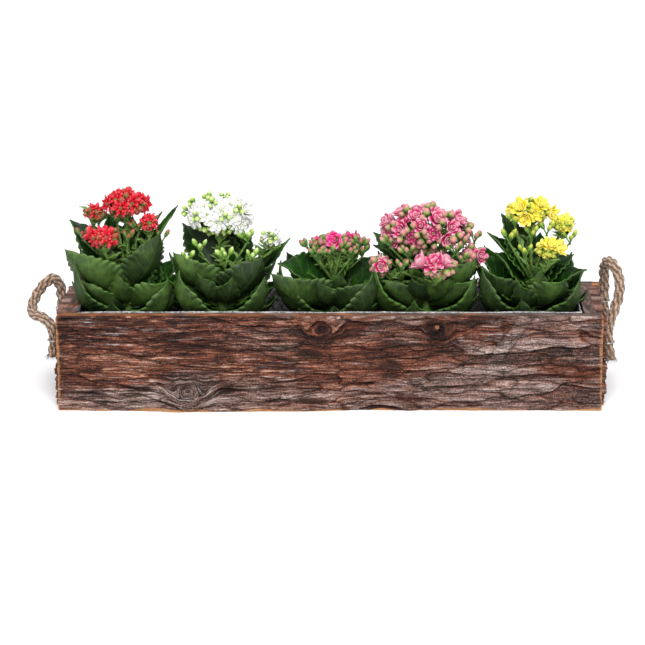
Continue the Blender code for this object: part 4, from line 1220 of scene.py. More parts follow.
# %% Plan of the plants
PLANTS = {
    "red": {
        "x": -210,
        "leaves": [
            ((-60, 15, 178), (0.5, -0.8, 0.3), 42, 0.04),
            ((-60, -25, 156), (0.45, 0.9, 0.3), 56, -0.22),
            ((-42, -36, 126), (0.3, 0.9, 0.3), 44, -0.20),
            ((38, -28, 174), (-0.5, 0.75, 0.35), 46, -0.15),
            ((46, -35, 126), (-0.4, 0.9, 0.3), 42, -0.20),
            ((36, 18, 186), (-1.0, 0.1, 0.2), 32, 0.03),
            ((-46, 42, 136), (0.4, -0.6, 0.7), 48, -0.23),
            ((26, 44, 134), (-0.3, -0.7, 0.7), 48, -0.23),
            ((-10, 40, 160), (0.0, -0.8, 0.5), 42, 0.04),
            ((-6, -38, 133), (0.0, 0.9, 0.3), 48, -0.25),
            ((-28, -12, 150), (0.4, 0.4, 0.8), 30, -0.05),
        ],
        "heads": [
            ((2, 0, 198), (25, 18, 14), 16, 17, 4.5),
            ((-20, -20, 167), (16, 10, 9), 9, 17, 4.5),
            ((-34, 4, 189), (9, 8, 6), 4, 16, 4.5),
            ((25, -8, 180), (7, 8, 7), 5, 16, 4.5),
        ],
        "buds": [((-44, -6, 162), 3), ((4, -22, 162), 4), ((-14, 26, 170), 4), ((38, -10, 160), 2)],
    },
    "white": {
        "x": -112,
        "leaves": [
            ((-42, 25, 172), (0.4, -0.8, 0.4), 44, 0.04),
            ((29, 32, 162), (-0.3, -0.8, 0.5), 46, 0.04),
            ((-6, 42, 164), (0.0, -0.8, 0.6), 46, 0.04),
            ((-47, -26, 153), (0.5, 0.9, 0.3), 52, -0.23),
            ((-22, -39, 135), (0.2, 0.9, 0.3), 46, -0.25),
            ((44, -28, 149), (-0.5, 0.9, 0.3), 56, -0.23),
            ((14, -39, 131), (-0.1, 0.9, 0.3), 44, -0.25),
            ((58, 4, 152), (-0.8, 0.3, 0.5), 40, -0.08),
            ((-40, 42, 130), (0.4, -0.6, 0.7), 46, -0.23),
            ((36, 44, 130), (-0.4, -0.6, 0.7), 46, -0.23),
        ],
        "heads": [
            ((-2, 0, 185), (34, 26, 22), 26, 20, 5.0),
            ((53, -8, 165), (10, 8, 5), 5, 18, 4.5),
        ],
        "buds": [((32, -24, 142), 4), ((-33, -22, 140), 4), ((8, -33, 146), 5), ((-6, 28, 146), 4)],
    },
    "magenta": {
        "x": 3,
        "leaves": [
            ((-56, -22, 140), (0.25, -0.45, 0.85), 48, 0.04),
            ((-44, 10, 134), (0.5, 0.0, 0.85), 38, -0.08),
            ((36, -37, 123), (-0.3, 0.9, 0.3), 48, -0.23),
            ((-16, -39, 127), (0.1, 0.9, 0.3), 46, -0.25),
            ((8, -35, 133), (0.0, 0.9, 0.3), 42, -0.23),
            ((34, 10, 156), (-0.7, -0.4, 0.5), 34, 0.02),
            ((-26, 42, 130), (0.3, -0.6, 0.7), 46, -0.23),
            ((20, 44, 132), (-0.2, -0.6, 0.7), 46, -0.23),
            ((44, -8, 128), (-0.6, 0.2, 0.8), 42, -0.23),
        ],
        "heads": [
            ((5, -8, 160), (7, 6, 5), 4, 16, 4.5),
            ((-15, 0, 156), (8, 8, 5), 5, 12, 6.0),
            ((18, 20, 155), (7, 7, 4), 4, 12, 6.0),
        ],
        "buds": [((-15, -18, 144), 7), ((18, -15, 144), 7), ((30, 0, 142), 5), ((-2, 20, 148), 4)],
    },
    "pink": {
        "x": 98,
        "leaves": [
            ((-54, 42, 158), (0.5, -0.8, 0.3), 38, 0.04),
            ((-54, 20, 150), (1.0, -0.2, 0.2), 32, 0.02),
            ((-42, -33, 124), (0.3, 0.9, 0.3), 44, -0.19),
            ((24, -37, 128), (-0.25, 0.9, 0.3), 56, -0.22),
            ((-14, -39, 129), (0.1, 0.9, 0.3), 46, -0.25),
            ((54, 20, 136), (-0.8, 0.35, 0.5), 42, -0.15),
            ((50, -28, 124), (-0.4, 0.9, 0.3), 40, -0.18),
            ((-28, 46, 138), (0.3, -0.6, 0.7), 44, -0.08),
            ((30, 46, 138), (-0.3, -0.6, 0.7), 44, -0.08),
            ((46, 28, 126), (-0.5, -0.3, 0.8), 42, -0.23),
        ],
        "heads": [
            ((0, 2, 167), (43, 29, 24), 32, 15, 6.0),
            ((10, -42, 140), (16, 4, 8), 5, 19, 4.5),
            ((-46, -14, 136), (8, 8, 7), 6, 13, 6.0),
            ((48, -6, 144), (8, 9, 7), 6, 13, 6.0),
        ],
        "buds": [((-24, -32, 134), 4), ((36, -24, 140), 4), ((0, 36, 138), 4)],
    },
    "yellow": {
        "x": 207,
        "leaves": [
            ((-31, 24, 182), (0.5, -0.8, 0.3), 38, 0.04),
            ((-46, -2, 168), (1.0, -0.3, 0.2), 32, 0.02),
            ((-38, -24, 152), (0.7, -0.4, 0.6), 42, -0.05),
            ((32, -37, 127), (-0.3, 0.9, 0.3), 50, -0.23),
            ((-16, -39, 125), (0.1, 0.9, 0.3), 48, -0.25),
            ((56, -8, 130), (-0.2, -0.3, 0.95), 42, 0.04),
            ((44, 18, 140), (-0.4, -0.5, 0.8), 36, 0.04),
            ((20, 12, 148), (-0.3, -0.6, 0.7), 38, 0.03),
            ((-10, 44, 144), (0.1, -0.6, 0.7), 44, -0.08),
            ((28, 42, 128), (-0.2, -0.5, 0.8), 40, -0.15),
            ((8, -35, 137), (0.0, 0.9, 0.3), 42, -0.23),
        ],
        "heads": [
            ((-2, 0, 189), (21, 15, 12), 13, 17, 4.5),
            ((31, 0, 176), (9, 9, 7), 6, 16, 4.5),
            ((16, -20, 153), (10, 6, 9), 6, 17, 4.5),
        ],
        "buds": [((-24, -14, 160), 4), ((38, -8, 158), 3), ((4, 24, 160), 4), ((-8, -26, 148), 3)],
    },
}

# %% [markdown]
# A kalanchoe leaf is thick and fleshy, folded a little along its rib, and its edge runs in round
# scallops about 8.5 mm long. A grid primitive is the start. Each row of the grid is set across the
# leaf at its width there, the scallops are cut only near the edge, and the whole is arched
# between root and tip. A solidify modifier later makes it fleshy and gives the under side its own,
# paler material.

# %% Leaf shape
PETIOLE_SHARE = 0.13
PETIOLE_HALF_WIDTH = 0.0022
SCALLOP_LENGTH = 0.0085
NOTCH_SHARE = 0.24
EDGE_WAVE = 0.0018
FOLD = 0.50


def leaf_grid(across, along):
    """A flat grid, with its numbers across (-1 to 1) and along (0 to 1)."""
    bpy.ops.object.select_all(action="DESELECT")
    bpy.ops.mesh.primitive_grid_add(x_subdivisions=across, y_subdivisions=along, size=2.0)
    made = bpy.context.object
    flat = coordinates(made.data)
    return made, -flat[:, 0], (flat[:, 1] + 1) / 2


leaf_blank = leaf_grid(8, 54)
bract_blank = leaf_grid(4, 12)


def half_width(share, width):
    """Half the blade's width at each share of its length, with the narrow stalk at its foot."""
    t = np.clip(0.06 + 0.94 * share, 0, 0.99999)
    half = width / 2 * 1.04 * np.sin(math.pi * t ** 0.74) ** (0.72 + 0.50 * t ** 2)
    joint = np.clip(share / 0.05, 0, 1)
    return PETIOLE_HALF_WIDTH * (1 - joint) + np.maximum(half, PETIOLE_HALF_WIDTH * (share < 0.5)) * joint


def make_leaf(root, tip, face, width, bow, number, blank=leaf_blank):
    """One leaf blade with its short stalk, as a single sheet."""
    template, s, t_all = blank
    draw = random.Random(number)
    along = tip - root
    length = along.length
    along.normalize()
    up = (face - face.dot(along) * along).normalized()
    side = up.cross(along)
    share = np.clip((t_all - PETIOLE_SHARE) / (1 - PETIOLE_SHARE), 0, 1)
    half = half_width(share, width)
    lobes = max(5, round(length / SCALLOP_LENGTH))
    ease = np.clip(share * 4, 0, 1) * np.clip((1 - share) * 14, 0, 1)
    notch = 1 - np.abs(np.sin(math.pi * (lobes * share + draw.uniform(0, 1)))) ** 0.75
    reach = half * (1 - NOTCH_SHARE * notch * ease * np.abs(s) ** 6)
    phase = draw.uniform(0, 6)
    wave = np.sin(2 * math.pi * share * draw.uniform(1.2, 2.2) + phase + 1.5 * np.sign(s))
    lift = FOLD * half * np.abs(s)
    lift += EDGE_WAVE * wave * np.abs(s) ** 3 * ease * min(1, width / 0.030)
    arch = bow * length * 4 * t_all * (1 - t_all)
    spots = (np.outer(t_all * length, along) + np.outer(s * reach, side)
             + np.outer(arch + lift, up) + np.array(root))
    leaf = copy_of(template, Matrix())
    place_vertices(leaf.data, spots)
    store(leaf.data, "leaf_shade", np.full(len(spots), draw.random()))
    store_uv(leaf.data, "leaf_map", np.column_stack([s * 0.5 + 0.5, t_all]))
    return leaf


# %% [markdown]
# One petal is a small sphere, flattened and drawn out to an oval with a soft point, and then bent.
# Every petal keeps how far along it a point is, which side faces in and which ring it stands in,
# for its colour.

# %% Petal shape
PETAL_THICKNESS = 0.035
PETAL_CUP = 0.25

bpy.ops.object.select_all(action="DESELECT")
bpy.ops.mesh.primitive_uv_sphere_add(segments=6, ring_count=4, radius=1.0)
petal_blank = bpy.context.object
petal_flat = coordinates(petal_blank.data)


def make_petal(length, width, start, tilt, bend, ring, lean, spin):
    """A petal from start outward. It leaves its foot at the tilt and turns by the bend to its tip."""
    t = (petal_flat[:, 2] + 1) / 2
    body = np.sin(math.pi * t ** 1.25) ** 0.75
    round_scale = np.maximum(np.hypot(petal_flat[:, 0], petal_flat[:, 1]), 1e-6)
    across = petal_flat[:, 0] / round_scale * width / 2 * body
    thick = petal_flat[:, 1] / round_scale * PETAL_THICKNESS * body
    angle = tilt + bend * t
    normal = thick + PETAL_CUP * np.abs(across)
    out = start + length * (np.sin(angle) - math.sin(tilt)) / bend - normal * np.sin(angle)
    rise = length * (math.cos(tilt) - np.cos(angle)) / bend + normal * np.cos(angle) + across * lean
    petal = copy_of(petal_blank, Matrix())
    place_vertices(petal.data, np.column_stack([
        out * math.cos(spin) - across * math.sin(spin),
        out * math.sin(spin) + across * math.cos(spin), rise]))
    store(petal.data, "petal_along", t)
    store(petal.data, "petal_inside", (petal_flat[:, 1] / round_scale > 0.3).astype(float))
    store(petal.data, "petal_ring", np.full(len(t), ring))
    return petal


# %% [markdown]
# A double floret has some 25 petals in rings, each ring shorter and steeper than the one outside
# it. Each open, star-shaped (for the red plant) and half-open floret is made more than once with
# other random draws, so that neighbours differ. A shut one is made once.

# %% Florets
# Each ring: petals, length, width, start, tilt and bend in degrees, for a floret of radius 1.
OPEN_RINGS = [(8, 0.98, 0.64, 0.06, 26, -38), (7, 0.84, 0.58, 0.05, 42, -38),
              (6, 0.64, 0.46, 0.04, 58, -30), (4, 0.40, 0.34, 0.03, 78, -14)]
HALF_RINGS = [(6, 0.98, 0.74, 0.20, 84, -54), (5, 0.86, 0.64, 0.14, 88, -34),
              (5, 0.76, 0.50, 0.08, 90, -20), (3, 0.66, 0.40, 0.03, 90, -8)]
STAR_RINGS = [(7, 1.04, 0.44, 0.06, 14, -26), (6, 0.88, 0.40, 0.05, 34, -30),
              (5, 0.66, 0.34, 0.04, 54, -26), (3, 0.40, 0.28, 0.03, 76, -14)]
SHUT_RINGS = [(5, 0.95, 0.62, 0.20, 96, 12), (4, 0.98, 0.48, 0.12, 96, 8), (3, 0.98, 0.36, 0.05, 92, 4)]


def make_floret(name, rings, seed):
    """A floret of unit radius that looks up, from its rings of petals."""
    draw = random.Random(seed)
    petals = []
    for ring, (count, length, width, start, tilt, bend) in enumerate(rings):
        offset = draw.uniform(0, 6)
        for index in range(count):
            spin = offset + 2 * math.pi * (index + draw.uniform(-0.12, 0.12)) / count
            petals.append(make_petal(
                length * draw.uniform(0.92, 1.06), width * draw.uniform(0.92, 1.08), start,
                math.radians(tilt + draw.uniform(-6, 6)), math.radians(bend + draw.uniform(-3, 3)),
                ring / (len(rings) - 1), draw.uniform(-0.15, 0.15), spin))
    floret = joined(name, petals)
    floret.data.shade_smooth()
    return floret


florets_of = {
    kind: [make_floret(f"{kind}_floret_{index}", rings, seed + index) for index in range(count)]
    for kind, rings, seed, count in (("open", OPEN_RINGS, 60, 3), ("star", STAR_RINGS, 90, 3),
                                     ("half", HALF_RINGS, 70, 2), ("shut", SHUT_RINGS, 80, 1))
}
bpy.data.objects.remove(petal_blank)
print("petals in an open floret:", sum(ring[0] for ring in OPEN_RINGS))

# %% [markdown]
# Under each floret and bud sits a calyx of four pointed sepals on a short stalk. A bud is a small
# egg with a drawn-out tip. The bud starts as a sphere of few faces and the calyx as a cone; both
# are shaped once and copied.

# %% Bud and calyx shapes
bpy.ops.mesh.primitive_uv_sphere_add(segments=8, ring_count=6, radius=1.0)
bud_blank = bpy.context.object
spots = coordinates(bud_blank.data)
height = (spots[:, 2] + 1) / 2
slim = np.where(height > 0.5, 1 - 0.42 * ((height - 0.5) / 0.5) ** 1.4, 1.0)
ribs = 1 + 0.10 * np.cos(4 * np.arctan2(spots[:, 1], spots[:, 0]))
store(bud_blank.data, "bud_height", height)
place_vertices(bud_blank.data, np.column_stack([
    spots[:, 0] * slim * ribs, spots[:, 1] * slim * ribs, height]))
bud_blank.data.shade_smooth()

bpy.ops.mesh.primitive_cone_add(vertices=8, radius1=0.45, radius2=1.0, depth=1.0, end_fill_type="NGON")
calyx_blank = bpy.context.object
spots = coordinates(calyx_blank.data)
turns = np.round(np.arctan2(spots[:, 1], spots[:, 0]) / (math.pi / 4)).astype(int)
pointed = (spots[:, 2] > 0) & (turns % 2 == 0)
spots[:, 2] += 0.5 + np.where(pointed, 0.9, 0.0)
spots[pointed, :2] *= 1.12
place_vertices(calyx_blank.data, spots)
store(calyx_blank.data, "bud_height", np.zeros(len(spots)))
calyx_blank.data.shade_smooth()


def standing(template, place, direction, size, length, spin):
    """A copy of a template that stands at a place along a direction, so wide and so long."""
    turn = direction.to_track_quat("Z", "Y").to_matrix().to_4x4()
    shape = Matrix.Rotation(spin, 4, "Z") @ Matrix.Diagonal((size, size, length, 1.0))
    return copy_of(template, Matrix.Translation(place) @ turn @ shape)


# %% [markdown]
# Leaf colour comes from three things: a dark waxy green skin, a thinner and brighter edge where
# light comes through, and faint veins that leave the rib at a slant. Red plants in strong light
# get a reddish edge; these were grown in shade and stay green. The skin is waxy, IOR 1.45, with a
# broad highlight.


# %% Leaf materials
def leaf_material(name, dark, mid, light, edge, roughness, vein_share):
    """Leaf skin with veins, a brighter edge and its own shade for each leaf."""
    made, tree, shader = new_material(name, roughness, 1.45, {"Specular IOR Level": 0.28})
    across, along, _ = axes(tree, uv_place(tree, "leaf_map"))
    aside = math_of(tree, "ABSOLUTE", math_of(tree, "SUBTRACT", across, 0.5))
    slant = sum_of(tree, along, (aside, -0.45))
    vein = spread(tree, math_of(tree, "COSINE", math_of(tree, "MULTIPLY", slant, 44.0)), 0.86, 1.0)
    lines = math_of(tree, "MAXIMUM", vein, spread(tree, aside, 0.035, 0.0))
    mottle = noise_over(tree, 90.0, 4.0, 0.6)
    tone = sum_of(tree, mottle, (kept(tree, "leaf_shade"), 0.40))
    skin = ramp(tree, tone, (0.48, dark), (0.75, mid), (1.0, light))
    skin = mixed(tree, math_of(tree, "MULTIPLY", lines, vein_share), skin, edge)
    near_edge = spread(tree, aside, 0.455, 0.5)
    skin = mixed(tree, math_of(tree, "MULTIPLY", near_edge, 0.30), skin, edge)
    coat(tree, shader, skin, sum_of(tree, mottle, (lines, -0.6)), 0.0006, 0.6)
    return made


leaf_top = leaf_material("waxy_leaf_upper_skin", "#0d2308", "#17380c", "#285513", "#5d8c2e", 0.40, 0.08)
leaf_under = leaf_material("waxy_leaf_lower_skin", "#22331b", "#344a22", "#4d6a2e", "#7c9a50", 0.45, 0.10)

# %% [markdown]
# Stalks are a fresh mid green with a dusty bloom. Buds go from green at the calyx to the hint of
# the petals' colour at their tip, so each plant has a bud material of its own.


# %% Stalk and bud materials
def bud_material(name, foot, middle, tip):
    """Bud skin that changes from its foot to its tip."""
    made, tree, shader = new_material(name, 0.45, 1.45, {
        "Subsurface Weight": 0.15, "Subsurface Scale": 0.002})
    rise = sum_of(tree, kept(tree, "bud_height"), (noise_over(tree, 300.0), 0.3))
    coat(tree, shader, ramp(tree, rise, (0.30, foot), (0.72, middle), (1.12, tip)))
    return made


stem_skin = mottled("soft_stem_skin", 0.5, [(0.35, "#4d7030"), (0.65, "#7f9f4f")], 260.0, 3.0, ior=1.45)
bud_skins = {name: bud_material(f"{name}_bud_skin", *codes) for name, codes in {
    "red": ("#48702a", "#6f6a30", "#a04438"),
    "white": ("#5f8a30", "#8fb24c", "#c2d48c"),
    "magenta": ("#446a28", "#6f8a3e", "#b06a70"),
    "pink": ("#4e7430", "#8a964e", "#c88088"),
    "yellow": ("#557f2a", "#8fa83c", "#c0bc48"),
}.items()}

# %% [markdown]
# Petals are thin and satin: a soft shine, and light that passes through them. Their inner face is
# the full colour, the outer face paler, and the middle of the floret deeper, partly its own colour and
# partly painted shade. The tips are painted lighter as a painted highlight. A fine noise gives
# them a slight relief.


# %% Petal materials
def petal_material(name, inner, outer, shaded_heart, tip):
    """Petal skin from its four colours: inner face, outer face, the floret's middle with painted shade, and
    the tip as a painted highlight.
    """
    made, tree, shader = new_material(name, 0.55, 1.42, {
        "Specular IOR Level": 0.3, "Subsurface Weight": 0.12, "Subsurface Scale": 0.002})
    along = kept(tree, "petal_along")
    skin = mixed(tree, kept(tree, "petal_inside"), outer, inner)
    # Painted highlight: the outer part of each petal is mixed toward the lighter tip colour.
    skin = mixed(tree, spread(tree, along, 0.70, 1.0, 0.0, 0.9), skin, tip)
    # The feet of the petals and the inner rings take the deeper colour: partly the floret's own, partly
    # painted shade.
    at_foot = spread(tree, along, 0.62, 0.1)
    in_shaded_heart = math_of(tree, "MULTIPLY_ADD", kept(tree, "petal_ring"), 0.25, at_foot, clamp=True)
    skin = mixed(tree, in_shaded_heart, skin, shaded_heart)
    coat(tree, shader, skin, noise_over(tree, 420.0, 3.0), 0.0004, 0.4)
    return made


# For each plant: inner face, outer face, the deeper middle with its painted shade, and the tip with its
# painted highlight.
petal_skins = {name: petal_material(f"{name}_petal_skin", *codes) for name, codes in {
    "red": ("#d00c20", "#cc2a3c", "#8a0410", "#ee6c78"),
    "white": ("#efeeec", "#e2e0e2", "#b9c07c", "#f6f5f4"),
    "magenta": ("#e0267a", "#c85a86", "#b81a5c", "#ee78ae"),
    "pink": ("#c02464", "#d990a4", "#96194c", "#f2bcc8"),
    "yellow": ("#f0dc34", "#e8da60", "#e6c02c", "#f8ee90"),
}.items()}

# %% [markdown]
# The leaves that the part has spring from the stem in order of height, by the part's own rules
# and random draws. The photo shows more than the solids may hold, so low leaves that hang over
# the rim of the pot and a few high ones are added. Front leaves are arched a little less than the
# solid's, and those furthest in front are narrower, so that the bark shows between them.

# %% Added leaves
STEM_HOLE_DEPTH = 0.030
ROOT_SUNK_AT = 0.0022
LOWEST_ROOT = 0.0885
ROOT_SPACING = 0.0026
LEAF_THICKNESS = 0.0015
# A low leaf: its turn about the stem, how far it reaches, its tip's height, its width and arch.
LOW_LEAVES = [
    (-146, 57, 136, 48, -0.36), (-36, 56, 128, 48, -0.36), (-98, 46, 104, 32, -0.36),
    (-168, 57, 110, 44, -0.30), (-12, 57, 104, 44, -0.30), (172, 58, 128, 46, -0.18),
    (8, 58, 120, 46, -0.18), (32, 60, 136, 50, -0.16), (148, 60, 138, 50, -0.16),
    (90, 50, 142, 50, -0.16), (122, 48, 112, 42, -0.34), (60, 48, 108, 42, -0.34),
]
MORE_LEAVES = {
    "red": [((52, 20, 192), (-0.9, -0.5, 0.1), 26, 0.03), ((24, 24, 170), (-0.3, -0.9, 0.2), 44, -0.05),
            ((-22, 28, 182), (0.3, -0.9, 0.2), 46, -0.04), ((3, 34, 178), (0.0, -0.9, 0.3), 48, -0.04)],
    "white": [((70, 16, 158), (-0.7, -0.5, 0.4), 30, -0.05), ((8, 34, 172), (0.0, -0.9, 0.3), 50, -0.05)],
    "magenta": [((-14, 30, 146), (0.2, -0.9, 0.4), 50, -0.1), ((50, 24, 140), (-0.6, -0.6, 0.5), 44, -0.1),
                ((-62, -38, 134), (0.45, 0.8, 0.35), 60, -0.26)],
    "pink": [((4, 34, 150), (0.0, -0.9, 0.4), 56, -0.08), ((60, 8, 150), (-0.8, -0.3, 0.5), 36, -0.06),
             ((57, -10, 146), (-0.6, 0.6, 0.5), 46, -0.20)],
    "yellow": [((-58, 6, 150), (0.8, -0.4, 0.4), 38, -0.08), ((10, 32, 160), (0.0, -0.9, 0.3), 50, -0.05),
               ((-54, -18, 138), (0.7, 0.6, 0.4), 48, -0.26)],
}


# %% Grow the leaves
def spot_at(x, point):
    """A place given in millimetres from a plant's axis, in metres in the box's frame."""
    return Vector((x + point[0] * MM, point[1] * MM, point[2] * MM))


def low_leaf(x, rank, draw, turn, reach, height, width, bow, number):
    """A leaf that springs from the foot of the stem and hangs over the rim."""
    way = level_way(math.radians(turn + draw.uniform(-12, 12)))
    tip = Vector((x, 0, (height + draw.uniform(-6, 8)) * MM)) + way * (reach * MM)
    root = Vector((x, 0, SOIL_TOP + 0.003 + rank * 0.0004)) + way * ROOT_SUNK_AT
    return make_leaf(root, tip, Vector((-way.x, -way.y, 0.7)), width * MM, bow, number)


def grow_leaves(name, x, leaves, seed):
    """All leaves of a plant as one piece."""
    draw = random.Random(seed + 300)
    blades = [low_leaf(x, rank, draw, *leaf, seed * 1000 + rank) for rank, leaf in enumerate(LOW_LEAVES)]
    for rank, (tip, face, width, bow) in enumerate(MORE_LEAVES[name]):
        root = Vector((x, 0, LOWEST_ROOT + 0.004 * (rank + 1)))
        blades.append(make_leaf(root, spot_at(x, tip), Vector(face), width * MM, bow, seed * 700 + rank))
    for rank, (tip, face, width, bow) in enumerate(sorted(leaves, key=lambda leaf: leaf[0][2])):
        out = Vector((tip[0], tip[1], 0)).normalized() * ROOT_SUNK_AT
        root = Vector((x + out.x, out.y, LOWEST_ROOT + rank * ROOT_SPACING))
        if tip[1] < -20:
            bow *= 0.80
        if tip[1] < -34 and -43 < tip[0] < 18:
            width *= 0.60
        blades.append(make_leaf(root, spot_at(x, tip), Vector(face), width * MM, bow, seed * 100 + rank))
    piece = joined(f"{name}_leaves", blades)
    paint(piece, leaf_top, leaf_under)
    thicken(piece, LEAF_THICKNESS, 1)
    piece.data.shade_smooth()
    return piece


# %% [markdown]
# A head is a dome of florets, spaced by the golden angle as the part has them, some a little
# deeper than others. The photo shows green buds wherever petals leave room, so each cluster of
# buds is put where the dome is emptiest.

# %% Places on a head
GOLDEN_ANGLE = math.radians(137.508)
LOOKS_FORWARD = Vector((0, -0.30, 0.05))
GAP_CHOICES = 240
DEEPEST_FLORET = 0.004


def on_dome(middle, radii, unit, share=1.0):
    """A point on a head's dome, or at a share of its size."""
    return middle + Vector([unit[i] * radii[i] * MM * share for i in range(3)])


def head_places(x, head, seed):
    """Where each floret of a head stands, which way it looks, its size and its turn."""
    centre, radii, count, diameter, depth = head
    draw = random.Random(seed)
    middle = spot_at(x, centre)
    lowest = -0.30 if count > 8 else 0.10
    found = []
    for index in range(count):
        rise = 1.0 - (index + 0.5) / count * (1.0 - lowest)
        angle = index * GOLDEN_ANGLE + seed
        ring = math.sqrt(1.0 - rise * rise)
        unit = Vector((ring * math.cos(angle), ring * math.sin(angle), rise))
        out = (unit + LOOKS_FORWARD).normalized()
        size = draw.uniform(0.9, 1.08)
        place = on_dome(middle, radii, unit) - out * (DEEPEST_FLORET * (index * 0.618 % 1))
        found.append((place, out, diameter * MM * size, depth * MM, draw.uniform(0, math.pi)))
    return found


def gap_places(x, head, seed, wanted, highest, lowest):
    """Places on a band of a head, each as far as it can be from its florets and the others."""
    centre, radii = head[:2]
    index = np.arange(GAP_CHOICES)
    rise = highest - (index + 0.5) / GAP_CHOICES * (highest - lowest)
    ring = np.sqrt(1 - rise ** 2)
    units = np.column_stack([ring * np.cos(index * GOLDEN_ANGLE), ring * np.sin(index * GOLDEN_ANGLE), rise])
    wider = np.where(rise < 0, 0.82, 1.10)[:, None]
    spots = np.array(spot_at(x, centre)) + units * np.array(radii) * MM * wider
    taken = [np.array(place) for place, *_ in head_places(x, head, seed)]
    found = []
    for _ in range(wanted):
        room = np.min([np.linalg.norm(spots - other, axis=1) for other in taken], axis=0)
        best = int(np.argmax(room))
        taken.append(spots[best])
        found.append((Vector(spots[best]), (Vector(units[best]) + LOOKS_FORWARD).normalized()))
    return found


def branch_points(x, head, places):
    """Where a head's few branches fork. There is one for every four florets and bud clusters."""
    centre, radii = head[:2]
    number = max(1, round(len(places) / 4))
    branches = []
    for index in range(number):
        rise = 1 - (index + 0.5) / number * 0.9
        ring = math.sqrt(1 - rise * rise)
        angle = index * GOLDEN_ANGLE + 1
        unit = (ring * math.cos(angle), ring * math.sin(angle), rise)
        branches.append(on_dome(spot_at(x, centre), radii, unit, 0.35) - Vector((0, 0, 0.004)))
    return branches


# %% [markdown]
# Stalks fork from the stem and spread to the heads, where a short stalk runs to each floret. Small
# narrow leaves, the bracts, stand at the forks and hide them.

# %% Grow the stalks
STEM_RADIUS = 0.0048
FORK_HEIGHT = 0.122
STALK_RADIUS = 0.0016
CORE_SHARE = 0.80
CORE_INSET = 0.0045
BRACT_THICKNESS = 0.0008
CALYX_DEPTH = 0.0045
CLUSTER_DEPTH = 0.008


def above(place, rise):
    """A place so much higher, or lower below zero."""
    return place + Vector((0, 0, rise))


def stalk(points, radii_at_points):
    """A tapering stalk through the points."""
    path = through(points, 5)
    spans = len(points) - 1
    radii = [np.interp(index / (len(path) - 1) * spans, range(spans + 1), radii_at_points)
             for index in range(len(path))]
    return sweep("stalk", path, radii, 7)


def thin_stalk(start, end, radius):
    """A short stalk with a slight sag."""
    middle = start.lerp(end, 0.55) - Vector((0, 0, 0.0012))
    return sweep("pedicel", [start, middle, end], [radius, radius * 0.9, radius], 5)


def bract(base, way, draw):
    """A small narrow leaf on a flower stalk, as a closed sheet with some thickness."""
    size = draw.uniform(0.010, 0.018)
    blade = make_leaf(base, base + way * size, Vector((0, 0, 1)) - way * 0.2, size * 0.42,
                      draw.uniform(-0.1, 0.15), draw.randrange(9999), bract_blank)
    thicken(blade, BRACT_THICKNESS)
    return blade


def head_stalks(x, head, seed, gaps, fork, draw):
    """The stalk of one head, its branches, a short stalk to each floret and cluster, and bracts."""
    centre, radii = head[:2]
    core = max(radii[2] * MM * CORE_SHARE, radii[2] * MM - CORE_INSET)
    under = spot_at(x, centre) - Vector((0, 0, core))
    knee = under - Vector((0, 0, 0.010))
    middle = above(fork.lerp(knee, 0.55), -0.004)
    pieces = [stalk([fork - Vector((0, 0, 0.006)), middle, knee, under],
                    [STALK_RADIUS * share for share in (1.3, 1.1, 0.9, 0.9)])]
    places = [(place - out * (depth / 2 + CALYX_DEPTH), 0.0009)
              for place, out, _, depth, _ in head_places(x, head, seed)]
    places += [(place - out * CLUSTER_DEPTH, 0.0007) for place, out in gaps]
    branches = branch_points(x, head, places)
    pieces += [thin_stalk(under, branch, 0.0012) for branch in branches]
    for place, radius in places:
        nearest = min(branches, key=lambda branch: (branch - place).length)
        pieces.append(thin_stalk(nearest, place, radius))
    for base in (knee, middle, under, knee.lerp(middle, 0.5), middle.lerp(fork, 0.5)):
        for _ in range(5):
            way = level_way(draw.uniform(0, 2 * math.pi), draw.uniform(0.4, 1.3))
            pieces.append(bract(base, way.normalized(), draw))
    return pieces


def grow_stalks(name, x, plan):
    """Stem, flower stalks, their branches and small bracts, as one piece."""
    draw = random.Random(plan["seed"] + 900)
    fork = Vector((x, 0, FORK_HEIGHT))
    stem = [(x, 0, SOIL_TOP - STEM_HOLE_DEPTH + GAP), (x, 0, SOIL_TOP + 0.008), (x, 0, FORK_HEIGHT + 0.004)]
    pieces = [stalk(stem, [STEM_RADIUS, STEM_RADIUS, STEM_RADIUS * 0.6])]
    for index, head in enumerate(plan["heads"], start=1):
        pieces += head_stalks(x, head, plan["seed"] * 10 + index, plan["gaps"][index], fork, draw)
    for base, _ in plan["buds"]:
        top = spot_at(x, base)
        middle = above(fork.lerp(top, 0.6), -0.003)
        pieces.append(stalk([fork - Vector((0, 0, 0.006)), middle, top],
                            [STALK_RADIUS * share for share in (1.1, 0.8, 0.6)]))
        pieces.append(bract(middle, level_way(draw.uniform(0, 2 * math.pi), 1).normalized(), draw))
    return joined(name, pieces)


# %% [markdown]
# Buds stand in loose sprays on stalks of their own, and in tight clusters among the florets. The
# part has fewer sprays than the photo, so some are added. Each bud sits on a calyx and a short
# green stalk, and each floret on a calyx.

# %% Grow the buds
PEDICEL_LENGTH = 0.009
BUD_LENGTH = 0.0085
BUD_RADIUS = 0.0026
MORE_BUDS = {
    "red": [((-8, -4, 178), 4), ((14, -8, 170), 5), ((-28, 0, 176), 4), ((22, 8, 166), 4),
            ((-2, 10, 182), 4)],
    "white": [((28, -10, 160), 5), ((-20, -20, 152), 3)],
    "magenta": [((8, -14, 150), 6), ((-24, -6, 150), 6), ((27, 2, 150), 6), ((-4, -20, 145), 5)],
    "pink": [((-36, -16, 156), 5), ((38, -14, 156), 5), ((-18, -28, 148), 5), ((30, -24, 150), 5),
             ((50, 4, 156), 4)],
    "yellow": [((-18, -10, 176), 4), ((14, -12, 168), 4), ((28, 4, 164), 4), ((-2, -16, 164), 4)],
}


